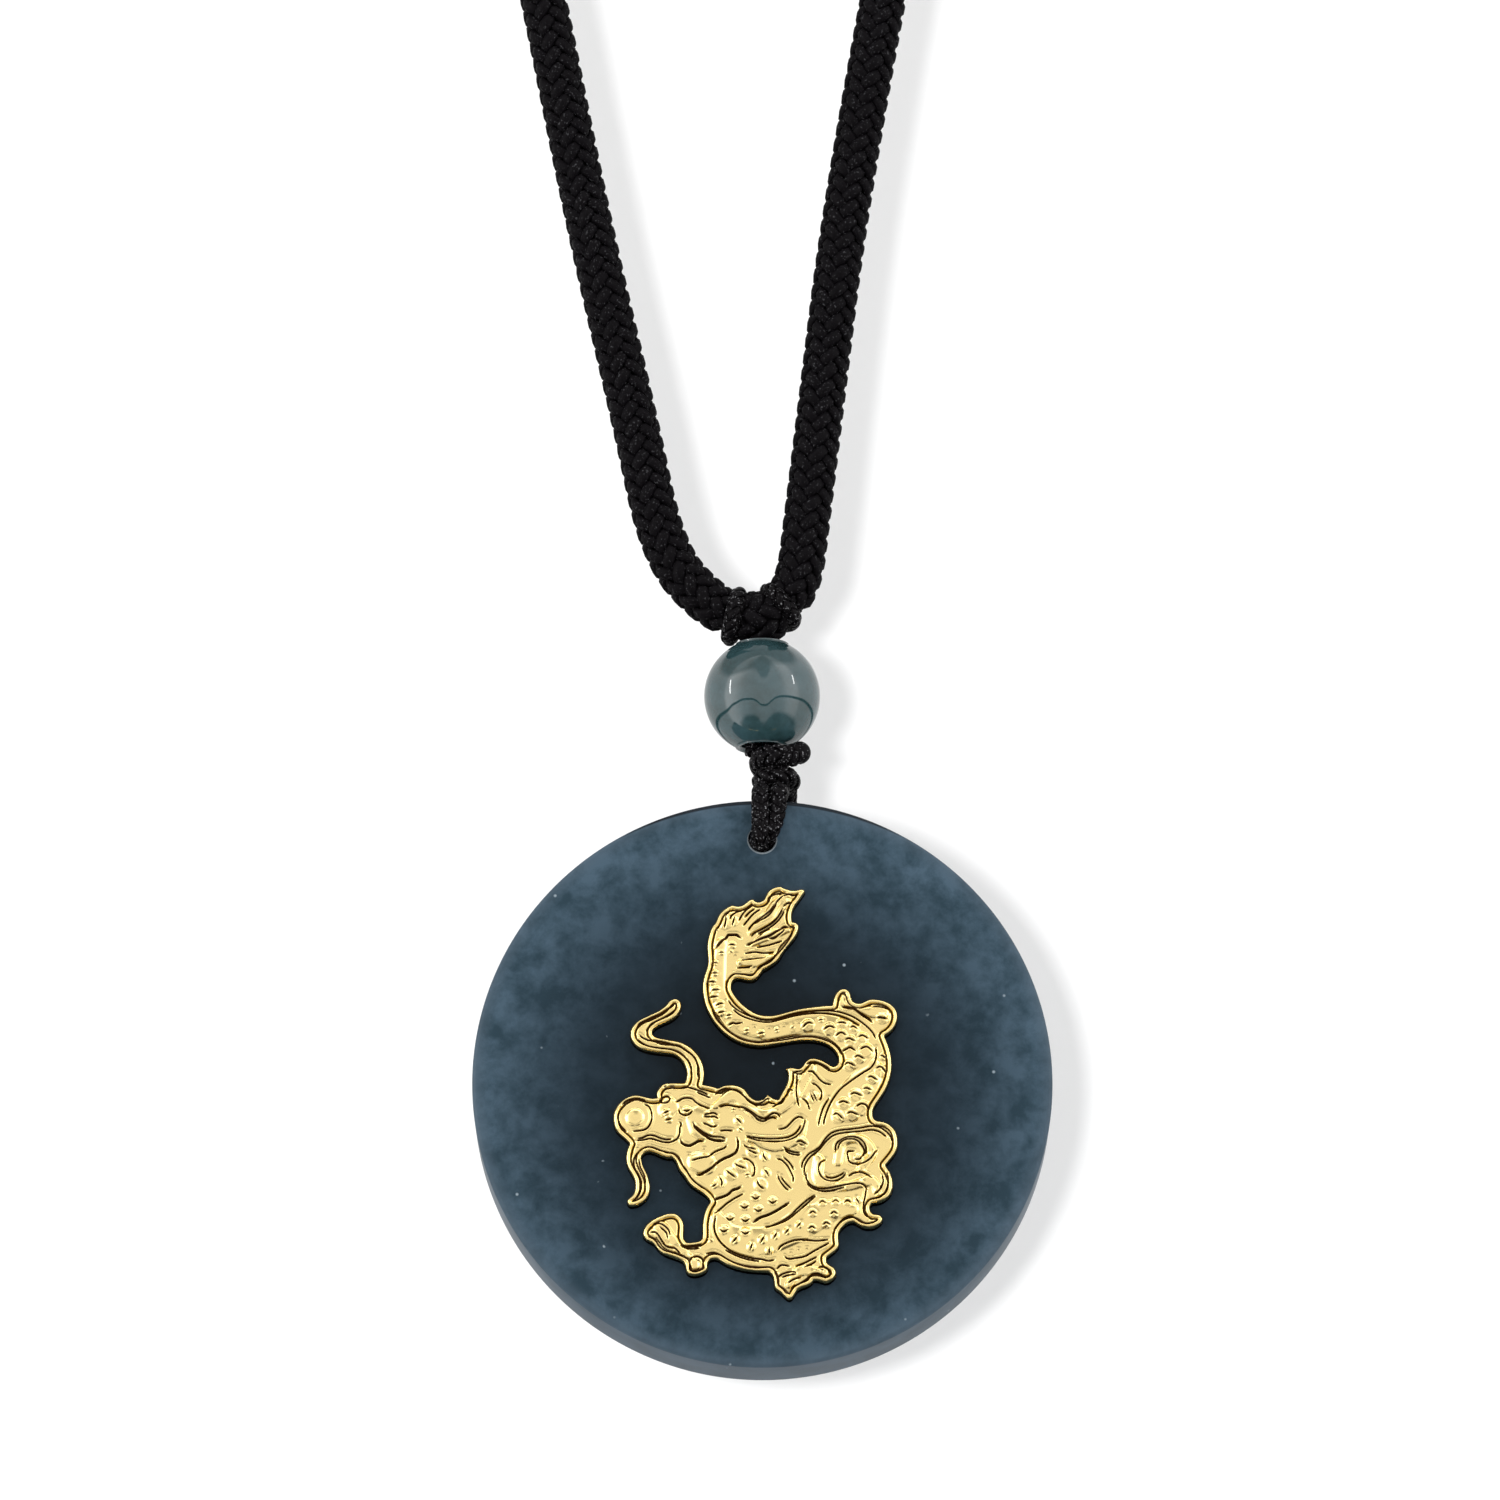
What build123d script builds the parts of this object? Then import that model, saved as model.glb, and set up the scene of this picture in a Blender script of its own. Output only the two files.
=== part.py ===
# Jade dragon pendant necklace, hanging from the back of the neck, in millimetres.
# A jade disc with a gold dragon on its front hangs on a thin cord. The thin cord is knotted over
# the disc, runs up through a jade bead and is hitched round the lowest point of the neck cord.
#
# +Z is up and the dragon faces -Y. The origin is where the nape carries the necklace: the
# underside of the barrel that joins the two ends of the neck cord.
from build123d import *
from math import atan2, cos, pi, radians, sin, tan
import os

# Driving dimensions: neck cord and its barrel
neck_cord_diameter = 3.0
barrel_length = 13.0
barrel_wall = 1.2
barrel_edge = 0.8
bore_clearance = 0.1

# Driving dimensions: jade disc
disc_diameter = 40.0
disc_thickness = 5.2
disc_edge = 0.35
hole_depth_below_rim = 2.8
hole_play = 0.25
hole_edge = 0.15

# Driving dimensions: bead. The drop is from the neck cord's fold to the bead's crown.
bead_diameter = 8.15
bead_drop = 1.695
bead_bore_play = 0.4
bead_bore_edge = 0.4

# Driving dimensions: thin cord with its hitch, knot and loop
thin_cord_diameter = 1.2
cord_gap = 0.1
strand_gap = 0.04
strand_press = 0.05
sway_gap = 0.12
knot_top_ring_width = 4.4
knot_low_ring_width = 3.7
knot_top_ring_lean = 4.0
knot_shift = 1.1
knot_slack = 0.2
knot_gap_over_rim = 1.175
knot_gap_under_bead = 0.15
knot_end_diameter = 1.5

# Driving dimensions: gold dragon
dragon_margin = 5.4
dragon_plate = 0.40
dragon_relief = 0.22
dragon_gap = 0.02

# The neck cord's route: across from the pendant's centre line, and down from the nape.
# It leaves the barrel to the left, comes down to the hitch and goes back up on the right.
neck_route = [
    (-0.5, 0.0), (-11.5, 0.0), (-31.0, 11.5), (-42.3, 31.0), (-43.8, 60.0),
    (-38.4, 101.0), (-31.3, 145.0), (-23.8, 188.0), (-16.15, 224.0), (-12.2, 245.2),
    (-9.05, 259.0), (-7.0, 268.6), (-3.75, 272.45), (-0.4, 273.78), (2.4, 271.95),
    (2.85, 266.5), (4.1, 257.5), (5.7, 244.5), (9.2, 224.0), (16.1, 188.0),
    (25.1, 144.0), (35.2, 100.0), (43.5, 60.0), (42.3, 31.0), (31.0, 11.5),
    (11.5, 0.0), (0.5, 0.0),
]

# The hitch's turns, sunk into the neck cord: across, up from the fold and lean in degrees
hitch_turns = [(-2.2, 0.15, -14.0), (1.55, 0.85, 38.0)]
hitch_turn_radius = 1.5

# How each turn goes on behind the neck cord, from the turn out: across, behind the cord's axis,
# and up from the fold. The strands hang down inside, and the bar joins the turns outside them.
strand_knees = [[(-1.2, 2.35, 0.45), (-0.75, 2.25, -0.4)], [(0.9, 2.35, 0.7), (0.75, 2.25, -0.4)]]
bar_knees = [[(-2.35, 2.5, -0.6), (-1.4, 3.55, 0.1)], [(2.1, 2.5, 0.2), (1.1, 3.55, 0.5)]]

# Where a strand comes over the bead's crown: behind the bore's axis, and up from the crown.
# It lies straight in the bore from the given depth under the crown.
strand_over_crown = (1.45, 0.45)
strand_straight_below = 0.9

# The loop's two sides between the knot and the hole, front and back: across and up, in pairs
# from the knot's foot, from the rim and from the hole's centre
loop_sides = {
    "front": ((0.75, 0.75), (0.6, 0.25), (0.45, 0.75), (0.05, 0.05)),
    "back": ((1.2, 0.75), (1.2, 0.25), (1.1, 0.75), (0.05, 0.05)),
}
loop_start = 0.55
loop_spread = 1.4

# Sizes that follow: cords, bores and barrel
neck_radius = neck_cord_diameter / 2
thin_radius = thin_cord_diameter / 2
strand_pitch = thin_cord_diameter + strand_gap
pressed_pitch = thin_cord_diameter - strand_press
bead_bore = strand_pitch + thin_cord_diameter + bead_bore_play
hole_diameter = pressed_pitch + thin_cord_diameter + hole_play
barrel_bore = neck_cord_diameter + 2 * bore_clearance
barrel_diameter = barrel_bore + 2 * barrel_wall

# Heights that follow, from the nape down to the disc
neck_cord_top = barrel_diameter / 2
fold = neck_cord_top - max(down for across, down in neck_route)
bead_crown = fold - bead_drop
bead_centre = bead_crown - bead_diameter / 2
knot_top = bead_centre - bead_diameter / 2 - knot_gap_under_bead
top_wrap = thin_radius + strand_press
low_wrap = thin_radius + strand_press / 2
knot_bottom = knot_top - 2 * (top_wrap + low_wrap) - knot_slack
rim_top = knot_bottom - knot_gap_over_rim
hole_centre = rim_top - hole_depth_below_rim
disc_centre = rim_top - disc_diameter / 2
face = disc_thickness / 2


def corner_turn(before, corner, after):
    """Angle in degrees by which a route turns at one of its points."""
    return (Vector(*corner) - Vector(*before)).get_angle(Vector(*after) - Vector(*corner))


def corner_radii(points, share=0.45):
    """The largest tangent arc that the two runs beside each point allow."""
    radii = []
    for before, corner, after in zip(points, points[1:], points[2:]):
        short = min((Vector(*corner) - Vector(*p)).length for p in (before, after))
        radii.append(share * short / tan(radians(corner_turn(before, corner, after) / 2)))
    return radii


def tube(points, diameter, pitch=0.0, sideways=(0, 1, 0)):
    """A round cord along straight runs joined by tangent arcs, or two cords that lie sideways."""
    with BuildPart(mode=Mode.PRIVATE) as cord:
        with BuildLine() as route:
            FilletPolyline(*points, radius=corner_radii(points))
        path = route.wire()
        start = Plane(origin=path @ 0, x_dir=sideways, z_dir=path % 0)
        with BuildSketch(start):
            with Locations((-pitch / 2, 0), (pitch / 2, 0)):
                Circle(diameter / 2)
        sweep(path=path)
    return cord.part, path.length


def turn_corners(across, up, lean, corners=8):
    """A turn round the neck cord, from its back over the top, down the front and underneath."""
    half = pi / corners
    reach = hitch_turn_radius / cos(half)
    points = []
    for i in range(corners - 2):
        angle = half - 2 * half * i
        rise = reach * cos(angle)
        x = across - rise * sin(radians(lean))
        z = fold + up + rise * cos(radians(lean))
        points.append((x, reach * sin(angle), z))
    return points


def from_fold(rows):
    """Points from rows that give across, behind, and up from the fold."""
    return [(across, behind, fold + up) for across, behind, up in rows]


# The hitch's two turns, each from its strand to the bar, and the strands below them
turns = []
for hitch_turn, strand_knee, bar_knee in zip(hitch_turns, strand_knees, bar_knees):
    turns.append(from_fold(strand_knee[:1]) + turn_corners(*hitch_turn) + from_fold(bar_knee[:1]))
strands = []
for side, strand_knee in zip((-1, 1), strand_knees):
    strand_x = side * strand_pitch / 2
    strand = from_fold(strand_knee[1:])
    strand.append((strand_x, strand_over_crown[0], bead_crown + strand_over_crown[1]))
    strand.append((strand_x, 0, bead_crown - strand_straight_below))
    strand.append((strand_x, 0, knot_top + cord_gap / 2))
    strands.append(strand)

# Neck cord, one whole loop whose ends meet inside the barrel, pressed in by the hitch's turns
neck_points = [(across, 0, neck_cord_top - down) for across, down in neck_route]
neck_tube, neck_length = tube(neck_points, neck_cord_diameter)
with BuildPart() as neck_cord:
    add(neck_tube)
    for turn in turns:
        add(tube(turn, thin_cord_diameter + 2 * cord_gap)[0], mode=Mode.SUBTRACT)
neck_cord.part.label = "neck_cord"

# Barrel at the nape, drilled right through for the two cord ends
with BuildPart() as nape_barrel:
    with BuildSketch(Plane.YZ.offset(-barrel_length / 2)):
        with Locations((0, neck_cord_top)):
            Circle(barrel_diameter / 2)
    extrude(amount=barrel_length)
    rims = nape_barrel.edges().filter_by(GeomType.CIRCLE)
    fillet(rims, barrel_edge)
    with BuildSketch(Plane.YZ.offset(-barrel_length / 2)):
        with Locations((0, neck_cord_top)):
            Circle(barrel_bore / 2)
    extrude(amount=barrel_length, mode=Mode.SUBTRACT)
nape_barrel.part.label = "nape_barrel"

# Jade disc, standing on edge, with the hole that the loop passes through
with BuildPart() as jade_disc:
    with BuildSketch(Plane.XZ.offset(-face)):
        with Locations((0, disc_centre)):
            Circle(disc_diameter / 2)
    extrude(amount=disc_thickness)
    fillet(jade_disc.edges().filter_by(GeomType.CIRCLE), disc_edge)
    with BuildSketch(Plane.XZ.offset(-face)):
        with Locations((0, hole_centre)):
            Circle(hole_diameter / 2)
    extrude(amount=disc_thickness, mode=Mode.SUBTRACT)
    mouths = jade_disc.edges().filter_by(GeomType.CIRCLE)
    mouths = [e for e in mouths if abs(e.radius - hole_diameter / 2) < 1e-6]
    chamfer(mouths, hole_edge)
jade_disc.part.label = "jade_disc"

# Bead, drilled from top to bottom for the two strands
with BuildPart() as bead:
    with Locations((0, 0, bead_centre)):
        Sphere(bead_diameter / 2)
        Cylinder(bead_bore / 2, 2 * bead_diameter, mode=Mode.SUBTRACT)
    chamfer(bead.edges().filter_by(GeomType.CIRCLE), bead_bore_edge)
bead.part.label = "bead"

# Hitch, one cord: up through the bead, round the neck cord, across behind it as a bar, round
# the neck cord again and down through the bead
bar = from_fold([bar_knees[0][1], bar_knees[1][1]])
with BuildPart() as hitch:
    hitch_route = strands[0][::-1] + turns[0] + bar + turns[1][::-1] + strands[1]
    add(tube(hitch_route, thin_cord_diameter)[0])
hitch.part.label = "hitch"

# Loop through the disc's hole, with the knot that closes it above the rim
loop_y = face + sway_gap + thin_radius
loop_heights = (knot_bottom, knot_bottom, rim_top, hole_centre)
loop_depths = (loop_start, loop_y - loop_spread, loop_y, loop_y)
loop_front = [(across, -depth, height + up)
              for (across, up), depth, height in zip(loop_sides["front"], loop_depths, loop_heights)]
loop_back = [(across, depth, height + up)
             for (across, up), depth, height in zip(loop_sides["back"], loop_depths, loop_heights)]
top_ring_radius = knot_top_ring_width / 2 - top_wrap
low_ring_radius = knot_low_ring_width / 2 - low_wrap
top_ring_height = knot_top - top_wrap - top_ring_radius * sin(radians(knot_top_ring_lean))
core_height = knot_top - knot_bottom - low_wrap
with BuildPart() as disc_loop:
    add(tube(loop_front + loop_back[::-1], thin_cord_diameter, pressed_pitch, (1, 0, 0))[0])
    with Locations((knot_shift, 0, knot_top - core_height / 2)):
        Cylinder(low_ring_radius, core_height)
    with Locations((knot_shift, 0, knot_bottom + low_wrap)):
        Torus(low_ring_radius, low_wrap)
    with Locations(Location((knot_shift, 0, top_ring_height), (0, knot_top_ring_lean, 0))):
        Torus(top_ring_radius, top_wrap)
    with Locations((knot_shift + top_ring_radius, 0, knot_top - top_wrap / 2)):
        Sphere(knot_end_diameter / 2)
disc_loop.part.label = "disc_loop"

# The dragon's outline, in hundredths of its height: across from its left end, up from its foot.
# Each stretch is one smooth curve, and corners stand where two stretches meet.
dragon_outline = {
    "tail tuft, right": [
        [(45.4, 98.6), (44.3, 96.8), (42.8, 94.6), (42.2, 92.6), (42.4, 91.1)],
        [(42.4, 91.1), (43.8, 90.3), (43.7, 88.7), (42.3, 86.3), (40.3, 83.9), (39.2, 82.0), (37.4, 80.4),
         (35.4, 79.2)],
        [(35.4, 79.2), (34.5, 78.0), (33.4, 77.0), (30.8, 77.0), (28.7, 77.0), (28.0, 75.8), (28.1, 74.4)],
    ],
    "back": [
        [(28.1, 74.4), (29.5, 72.2), (31.6, 70.2), (34.4, 68.7), (38.0, 68.5), (43.0, 69.8), (47.5, 70.6),
         (51.7, 70.9)],
    ],
    "rear foot": [
        [(51.7, 70.9), (52.1, 72.8), (53.0, 74.3), (54.6, 74.9), (55.9, 74.1), (56.3, 72.6), (56.9, 71.7)],
        [(56.9, 71.7), (58.4, 71.4), (60.2, 72.2), (62.4, 72.3), (65.2, 71.4), (66.8, 69.8), (67.1, 67.4),
         (66.2, 65.2), (64.1, 63.4)],
    ],
    "chest": [
        [(64.1, 63.4), (65.2, 60.4), (65.8, 56.8), (65.4, 53.4), (64.1, 50.1), (62.4, 47.5), (61.3, 45.2),
         (61.5, 43.6), (62.6, 42.9)],
    ],
    "cloud": [
        [(62.6, 42.9), (64.8, 42.3), (66.4, 40.8), (67.1, 38.4), (66.8, 35.8), (65.6, 33.9), (64.2, 32.2)],
        [(64.2, 32.2), (65.5, 30.0), (66.0, 27.6), (65.3, 25.2), (63.7, 23.7), (61.4, 23.1)],
    ],
    "cloud tail": [
        [(61.4, 23.1), (60.5, 22.1), (61.1, 20.7), (62.7, 20.4), (63.5, 19.4), (62.8, 18.1), (60.6, 17.1),
         (58.4, 17.5), (56.4, 18.5), (54.6, 17.8), (53.3, 16.2)],
        [(53.3, 16.2), (53.1, 14.6), (53.2, 13.0), (52.0, 11.4), (50.3, 10.1)],
    ],
    "lower foot": [
        [(50.3, 10.1), (50.7, 8.7), (52.0, 7.8), (52.5, 6.2), (51.6, 4.8), (50.1, 4.1), (48.6, 4.5),
         (47.2, 4.6)],
        [(47.2, 4.6), (45.5, 3.2), (43.3, 2.1), (42.5, 0.8), (41.5, 0.1), (40.5, 0.7), (39.4, 1.8),
         (38.1, 2.8), (37.8, 4.4), (37.3, 6.1), (36.4, 6.6)],
    ],
    "belly": [
        [(36.4, 6.6), (32.6, 6.8), (29.0, 7.5), (26.2, 8.7), (24.3, 9.7), (23.0, 9.5), (22.5, 8.4)],
    ],
    "front claw": [
        [(22.5, 8.4), (22.1, 6.9), (20.6, 6.0), (18.9, 5.8), (17.5, 6.5), (17.1, 7.9), (16.4, 9.2)],
        [(16.4, 9.2), (14.2, 10.1), (12.2, 10.9), (10.8, 12.0), (9.8, 13.3), (8.2, 14.2), (7.2, 15.4),
         (7.6, 17.5), (9.2, 19.1), (11.4, 20.2), (13.6, 20.8), (15.5, 20.3), (16.6, 18.8), (16.8, 16.6),
         (16.8, 14.8), (17.6, 13.8)],
        [(17.6, 13.8), (19.4, 13.9), (20.8, 14.5), (21.1, 16.4), (21.2, 19.0), (21.8, 21.5), (22.9, 23.5)],
    ],
    "jaw": [
        [(22.9, 23.5), (21.4, 25.3), (19.4, 26.6), (17.9, 27.9), (16.6, 29.8), (15.4, 31.5), (14.8, 33.1),
         (13.8, 34.0)],
    ],
    "lower whisker": [
        [(13.8, 34.0), (11.8, 34.2), (9.8, 35.1), (8.0, 35.3), (6.9, 34.3), (7.1, 32.3), (8.2, 30.0),
         (8.9, 27.4), (8.5, 25.0), (7.2, 23.4), (5.4, 22.5), (3.9, 22.6), (3.4, 23.7), (4.4, 24.9),
         (5.2, 26.6), (5.0, 29.0), (4.0, 30.8), (3.2, 32.8), (3.2, 35.2), (3.9, 37.4)],
    ],
    "pearl": [
        [(3.9, 37.4), (2.6, 38.8), (1.0, 40.3), (0.1, 42.6), (0.2, 45.0), (1.3, 47.0), (3.2, 48.5),
         (5.6, 49.2), (7.8, 48.7), (10.3, 48.5)],
    ],
    "brow": [
        [(10.3, 48.5), (10.5, 50.4), (11.8, 51.7), (14.0, 52.1), (16.8, 52.1)],
    ],
    "upper whisker": [
        [(16.8, 52.1), (17.3, 54.4), (16.6, 56.7), (14.9, 58.5), (12.2, 59.1), (9.0, 59.5), (6.2, 60.4),
         (4.4, 62.2), (4.0, 64.4), (5.0, 66.4), (7.4, 68.0), (10.0, 69.2), (12.2, 70.8), (13.6, 72.2),
         (15.2, 72.4), (16.1, 70.9), (15.5, 68.8), (13.6, 67.1), (11.4, 66.1), (9.7, 65.0)],
        [(9.7, 65.0), (9.3, 64.2), (9.9, 63.3)],
        [(9.9, 63.3), (12.4, 62.6), (15.6, 62.1), (18.4, 60.6), (20.4, 58.5), (21.4, 56.0), (21.2, 51.7)],
    ],
    "mane": [
        [(21.2, 51.7), (23.2, 51.3), (24.9, 50.8)],
        [(24.9, 50.8), (26.8, 51.6), (29.2, 51.5), (31.2, 50.4), (32.9, 48.4), (34.5, 47.9), (36.4, 49.3)],
        [(36.4, 49.3), (37.5, 48.5), (38.9, 48.1)],
        [(38.9, 48.1), (39.9, 50.0), (40.9, 51.9), (40.8, 55.5)],
        [(40.8, 55.5), (42.4, 55.8), (43.8, 55.4)],
        [(43.8, 55.4), (44.8, 56.4), (46.2, 57.9), (48.4, 57.9), (50.4, 56.9), (52.2, 56.1), (53.1, 57.2),
         (52.6, 59.2), (51.0, 60.9), (48.6, 61.9), (45.6, 62.2), (42.6, 62.0)],
    ],
    "neck and tail": [
        [(42.6, 62.0), (38.6, 61.3), (34.6, 60.8), (30.8, 61.4), (27.2, 63.2), (24.2, 66.2), (22.0, 70.0),
         (21.1, 73.6), (21.3, 77.6), (22.3, 81.2), (22.1, 84.6), (22.4, 87.4), (23.3, 90.1)],
    ],
    "tail tuft, left": [
        [(23.3, 90.1), (24.2, 91.3), (24.9, 92.9), (26.4, 94.4), (28.2, 95.3)],
        [(28.2, 95.3), (29.2, 95.0), (30.4, 95.2), (31.6, 96.1), (33.2, 96.7)],
        [(33.2, 96.7), (34.3, 96.0), (35.4, 96.5), (36.2, 98.1), (37.4, 99.2), (39.6, 99.8)],
        [(39.6, 99.8), (41.2, 99.1), (43.2, 98.9), (44.7, 99.1), (45.4, 98.6)],
    ],
}

# Raised forms as ribbons, in the same hundredths: across, up and width at each section
dragon_ribbons = {
    "tail and back": [(25.6, 86.0, 2.6), (24.8, 80.5, 3.6), (24.5, 75.0, 4.4), (26.3, 70.0, 4.8),
                      (30.6, 66.2, 4.8), (37.0, 64.6, 4.4), (43.5, 66.0, 4.4), (49.5, 66.2, 4.8),
                      (55.0, 63.4, 6.6), (58.0, 58.5, 7.0)],
    "chest": [(61.5, 56.0, 4.0), (58.6, 51.0, 8.0), (55.4, 46.4, 8.0)],
    "tuft, upper lock": [(32.5, 88.5, 1.6), (36.4, 92.0, 2.8), (38.6, 95.6, 2.2), (41.8, 98.0, 1.2)],
    "tuft, middle lock": [(33.0, 85.6, 1.2), (37.0, 87.8, 2.4), (41.4, 89.0, 1.2)],
    "tuft, lower lock": [(29.8, 81.2, 1.2), (33.4, 81.0, 2.2), (37.6, 82.6, 1.2)],
    "rear foot": [(54.0, 72.8, 1.8), (58.2, 69.8, 2.2), (63.6, 68.8, 3.2)],
    "upper whisker": [(14.4, 70.8, 1.2), (10.4, 67.6, 1.8), (6.6, 64.8, 2.2), (7.8, 61.8, 1.8),
                      (14.0, 60.6, 1.6), (18.3, 58.0, 1.8), (19.3, 54.0, 1.6)],
    "lower whisker": [(5.6, 36.6, 1.4), (5.4, 33.0, 1.8), (6.8, 28.6, 1.8), (6.6, 25.4, 1.6),
                      (5.0, 23.8, 1.0)],
    "mane": [(24.0, 46.4, 1.6), (28.6, 48.8, 3.0), (33.6, 44.8, 2.8), (38.6, 45.2, 2.4), (42.8, 49.0, 2.8),
             (46.8, 55.6, 2.2)],
    "lower lock": [(32.0, 38.4, 1.4), (38.0, 36.6, 2.4), (43.6, 38.6, 2.2), (45.2, 42.4, 1.2)],
    "belly": [(24.6, 20.0, 2.6), (27.2, 15.8, 5.0), (32.0, 14.0, 7.0), (38.6, 14.8, 6.4), (45.4, 18.6, 7.2),
              (51.8, 21.4, 5.0), (56.6, 21.6, 2.6)],
    "front claw": [(19.4, 8.2, 2.2), (14.8, 13.4, 2.6), (11.4, 16.8, 4.0)],
    "lower foot": [(41.4, 3.6, 1.8), (44.0, 6.8, 2.6), (49.6, 6.6, 2.0)],
    "cloud sweep": [(48.4, 33.6, 2.6), (48.6, 28.6, 2.8), (54.4, 27.0, 2.2), (60.6, 28.4, 2.6),
                    (62.4, 25.4, 1.6)],
}

# Raised rounds, in the same hundredths: across, up, outer radius and inner radius
dragon_rounds = {
    "pearl rim": (5.2, 43.9, 4.1, 2.9),
    "pearl": (5.2, 43.7, 2.1, 0.0),
    "snout": (13.0, 46.0, 2.6, 0.0),
    "brow and cheek": (20.4, 42.6, 4.6, 0.0),
    "jaw": (20.8, 33.0, 3.6, 0.0),
    "cloud curl": (57.4, 35.2, 4.9, 2.7),
    "cloud heart": (57.4, 35.2, 1.6, 0.0),
    "mane curl": (29.6, 31.4, 3.6, 1.8),
}


# The disc's centre in the same hundredths
dragon_centre = (35.2, 52.88)
dragon_height = disc_diameter - 2 * dragon_margin


def dragon_point(across, up):
    """A point of the dragon on the disc's face plane, from hundredths of the dragon's height."""
    return (
        (across - dragon_centre[0]) * dragon_height / 100,
        disc_centre + (up - dragon_centre[1]) * dragon_height / 100,
    )


def ribbon_sides(rows):
    """The two long edges of a ribbon that is as wide at each section as its row says."""
    left, right = [], []
    for i, (across, up, width) in enumerate(rows):
        before, after = rows[max(i - 1, 0)], rows[min(i + 1, len(rows) - 1)]
        heading = atan2(after[1] - before[1], after[0] - before[0])
        step = (-sin(heading) * width / 2, cos(heading) * width / 2)
        left.append(dragon_point(across + step[0], up + step[1]))
        right.append(dragon_point(across - step[0], up - step[1]))
    return left, right[::-1]


def dragon_plane(height):
    """The drawing plane at a height in front of the disc's face; extruding goes towards -Y."""
    return Plane.XZ.offset(face + height)


# Gold dragon: a plate of its outline on the disc's face, with its forms raised above the plate
with BuildPart() as dragon:
    with BuildSketch(dragon_plane(dragon_gap)):
        with BuildLine():
            for stretches in dragon_outline.values():
                for stretch in stretches:
                    Spline(*[dragon_point(*row) for row in stretch])
        make_face()
    extrude(amount=dragon_plate)
    for rows in dragon_ribbons.values():
        left_side, right_side = ribbon_sides(rows)
        with BuildSketch(dragon_plane(dragon_gap + dragon_plate / 2)):
            with BuildLine():
                Spline(*left_side)
                Line(left_side[-1], right_side[0])
                Spline(*right_side)
                Line(right_side[-1], left_side[0])
            make_face()
        extrude(amount=dragon_plate / 2 + dragon_relief)
    for across, up, outer, inner in dragon_rounds.values():
        with BuildSketch(dragon_plane(dragon_gap + dragon_plate / 2)):
            with Locations(dragon_point(across, up)):
                Circle(outer * dragon_height / 100)
                if inner > 0:
                    Circle(inner * dragon_height / 100, mode=Mode.SUBTRACT)
        extrude(amount=dragon_plate / 2 + dragon_relief)
dragon.part.label = "dragon"

pieces = [neck_cord, nape_barrel, hitch, bead, disc_loop, jade_disc, dragon]
os.makedirs("parts", exist_ok=True)
for piece in pieces:
    export_step(piece.part, f"parts/{piece.part.label}.step")

# The neck cord's arcs, length and volume
print("neck cord radii", [round(r, 1) for r in corner_radii(neck_points)])
print("neck cord length", round(neck_length, 1))
section = pi * neck_cord_diameter**2 / 4
print("neck cord volume over section times length", neck_cord.part.volume / (section * neck_length))
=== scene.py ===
"""Looks of the jade dragon pendant necklace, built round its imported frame, in metres.

A jade disc with a gold dragon hangs by a knotted thin cord from a jade bead and a braided neck cord.
"""
from math import asin, cos, degrees, pi, radians, sin, tau

import bmesh
import bpy
import numpy as np
from mathutils import Matrix, Vector


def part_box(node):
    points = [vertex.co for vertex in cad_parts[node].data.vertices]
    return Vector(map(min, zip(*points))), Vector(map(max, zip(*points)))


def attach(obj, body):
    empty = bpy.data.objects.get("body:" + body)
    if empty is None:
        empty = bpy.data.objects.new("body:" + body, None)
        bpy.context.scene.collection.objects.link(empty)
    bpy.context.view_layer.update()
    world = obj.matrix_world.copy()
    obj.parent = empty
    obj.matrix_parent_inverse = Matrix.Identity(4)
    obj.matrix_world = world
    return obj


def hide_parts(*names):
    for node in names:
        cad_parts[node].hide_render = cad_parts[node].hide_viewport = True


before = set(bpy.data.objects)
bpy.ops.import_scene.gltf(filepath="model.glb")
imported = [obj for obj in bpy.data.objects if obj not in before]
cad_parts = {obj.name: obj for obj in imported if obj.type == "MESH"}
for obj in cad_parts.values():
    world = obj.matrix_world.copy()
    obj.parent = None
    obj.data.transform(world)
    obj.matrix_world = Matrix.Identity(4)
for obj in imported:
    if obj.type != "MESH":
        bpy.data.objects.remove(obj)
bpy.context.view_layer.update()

bl_info = {
    "name": "Jade dragon pendant necklace",
    "version": (1, 0, 0),
    "blender": (4, 5, 0),
    "location": "3D View > Sidebar > Necklace",
    "description": "Builds the braided cords, jade bead, jade disc and gold dragon of the necklace",
    "category": "Add Mesh",
}

MM = 0.001


def node_middle(node):
    """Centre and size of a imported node's box."""
    low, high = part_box(node)
    return (low + high) / 2, high - low


DISC_CENTRE, DISC_SIZE = node_middle("jade_disc")
BEAD_CENTRE, BEAD_SIZE = node_middle("bead")
BARREL_CENTRE, BARREL_SIZE = node_middle("nape_barrel")
DRAGON_CENTRE, DRAGON_SIZE = node_middle("dragon")

# The chain's distances, as in the part's source
HOLE_BELOW_RIM = 2.8 * MM
FOLD_OVER_BEAD = 1.695 * MM
KNOT_OVER_RIM = 1.175 * MM
KNOT_HEIGHT = 2.75 * MM

# Levels of the chain from the nape down, the fold being the neck cord's centre line where it turns
CORD_TOP = BARREL_CENTRE.z
BEAD_CROWN = BEAD_CENTRE.z + BEAD_SIZE.x / 2
FOLD = BEAD_CROWN + FOLD_OVER_BEAD
RIM_TOP = DISC_CENTRE.z + DISC_SIZE.x / 2
KNOT_FOOT = RIM_TOP + KNOT_OVER_RIM
KNOT_TOP = KNOT_FOOT + KNOT_HEIGHT
HOLE_CENTRE = RIM_TOP - HOLE_BELOW_RIM

# How far the disc's faces are from its middle
FACE = DISC_SIZE.y / 2

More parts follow.
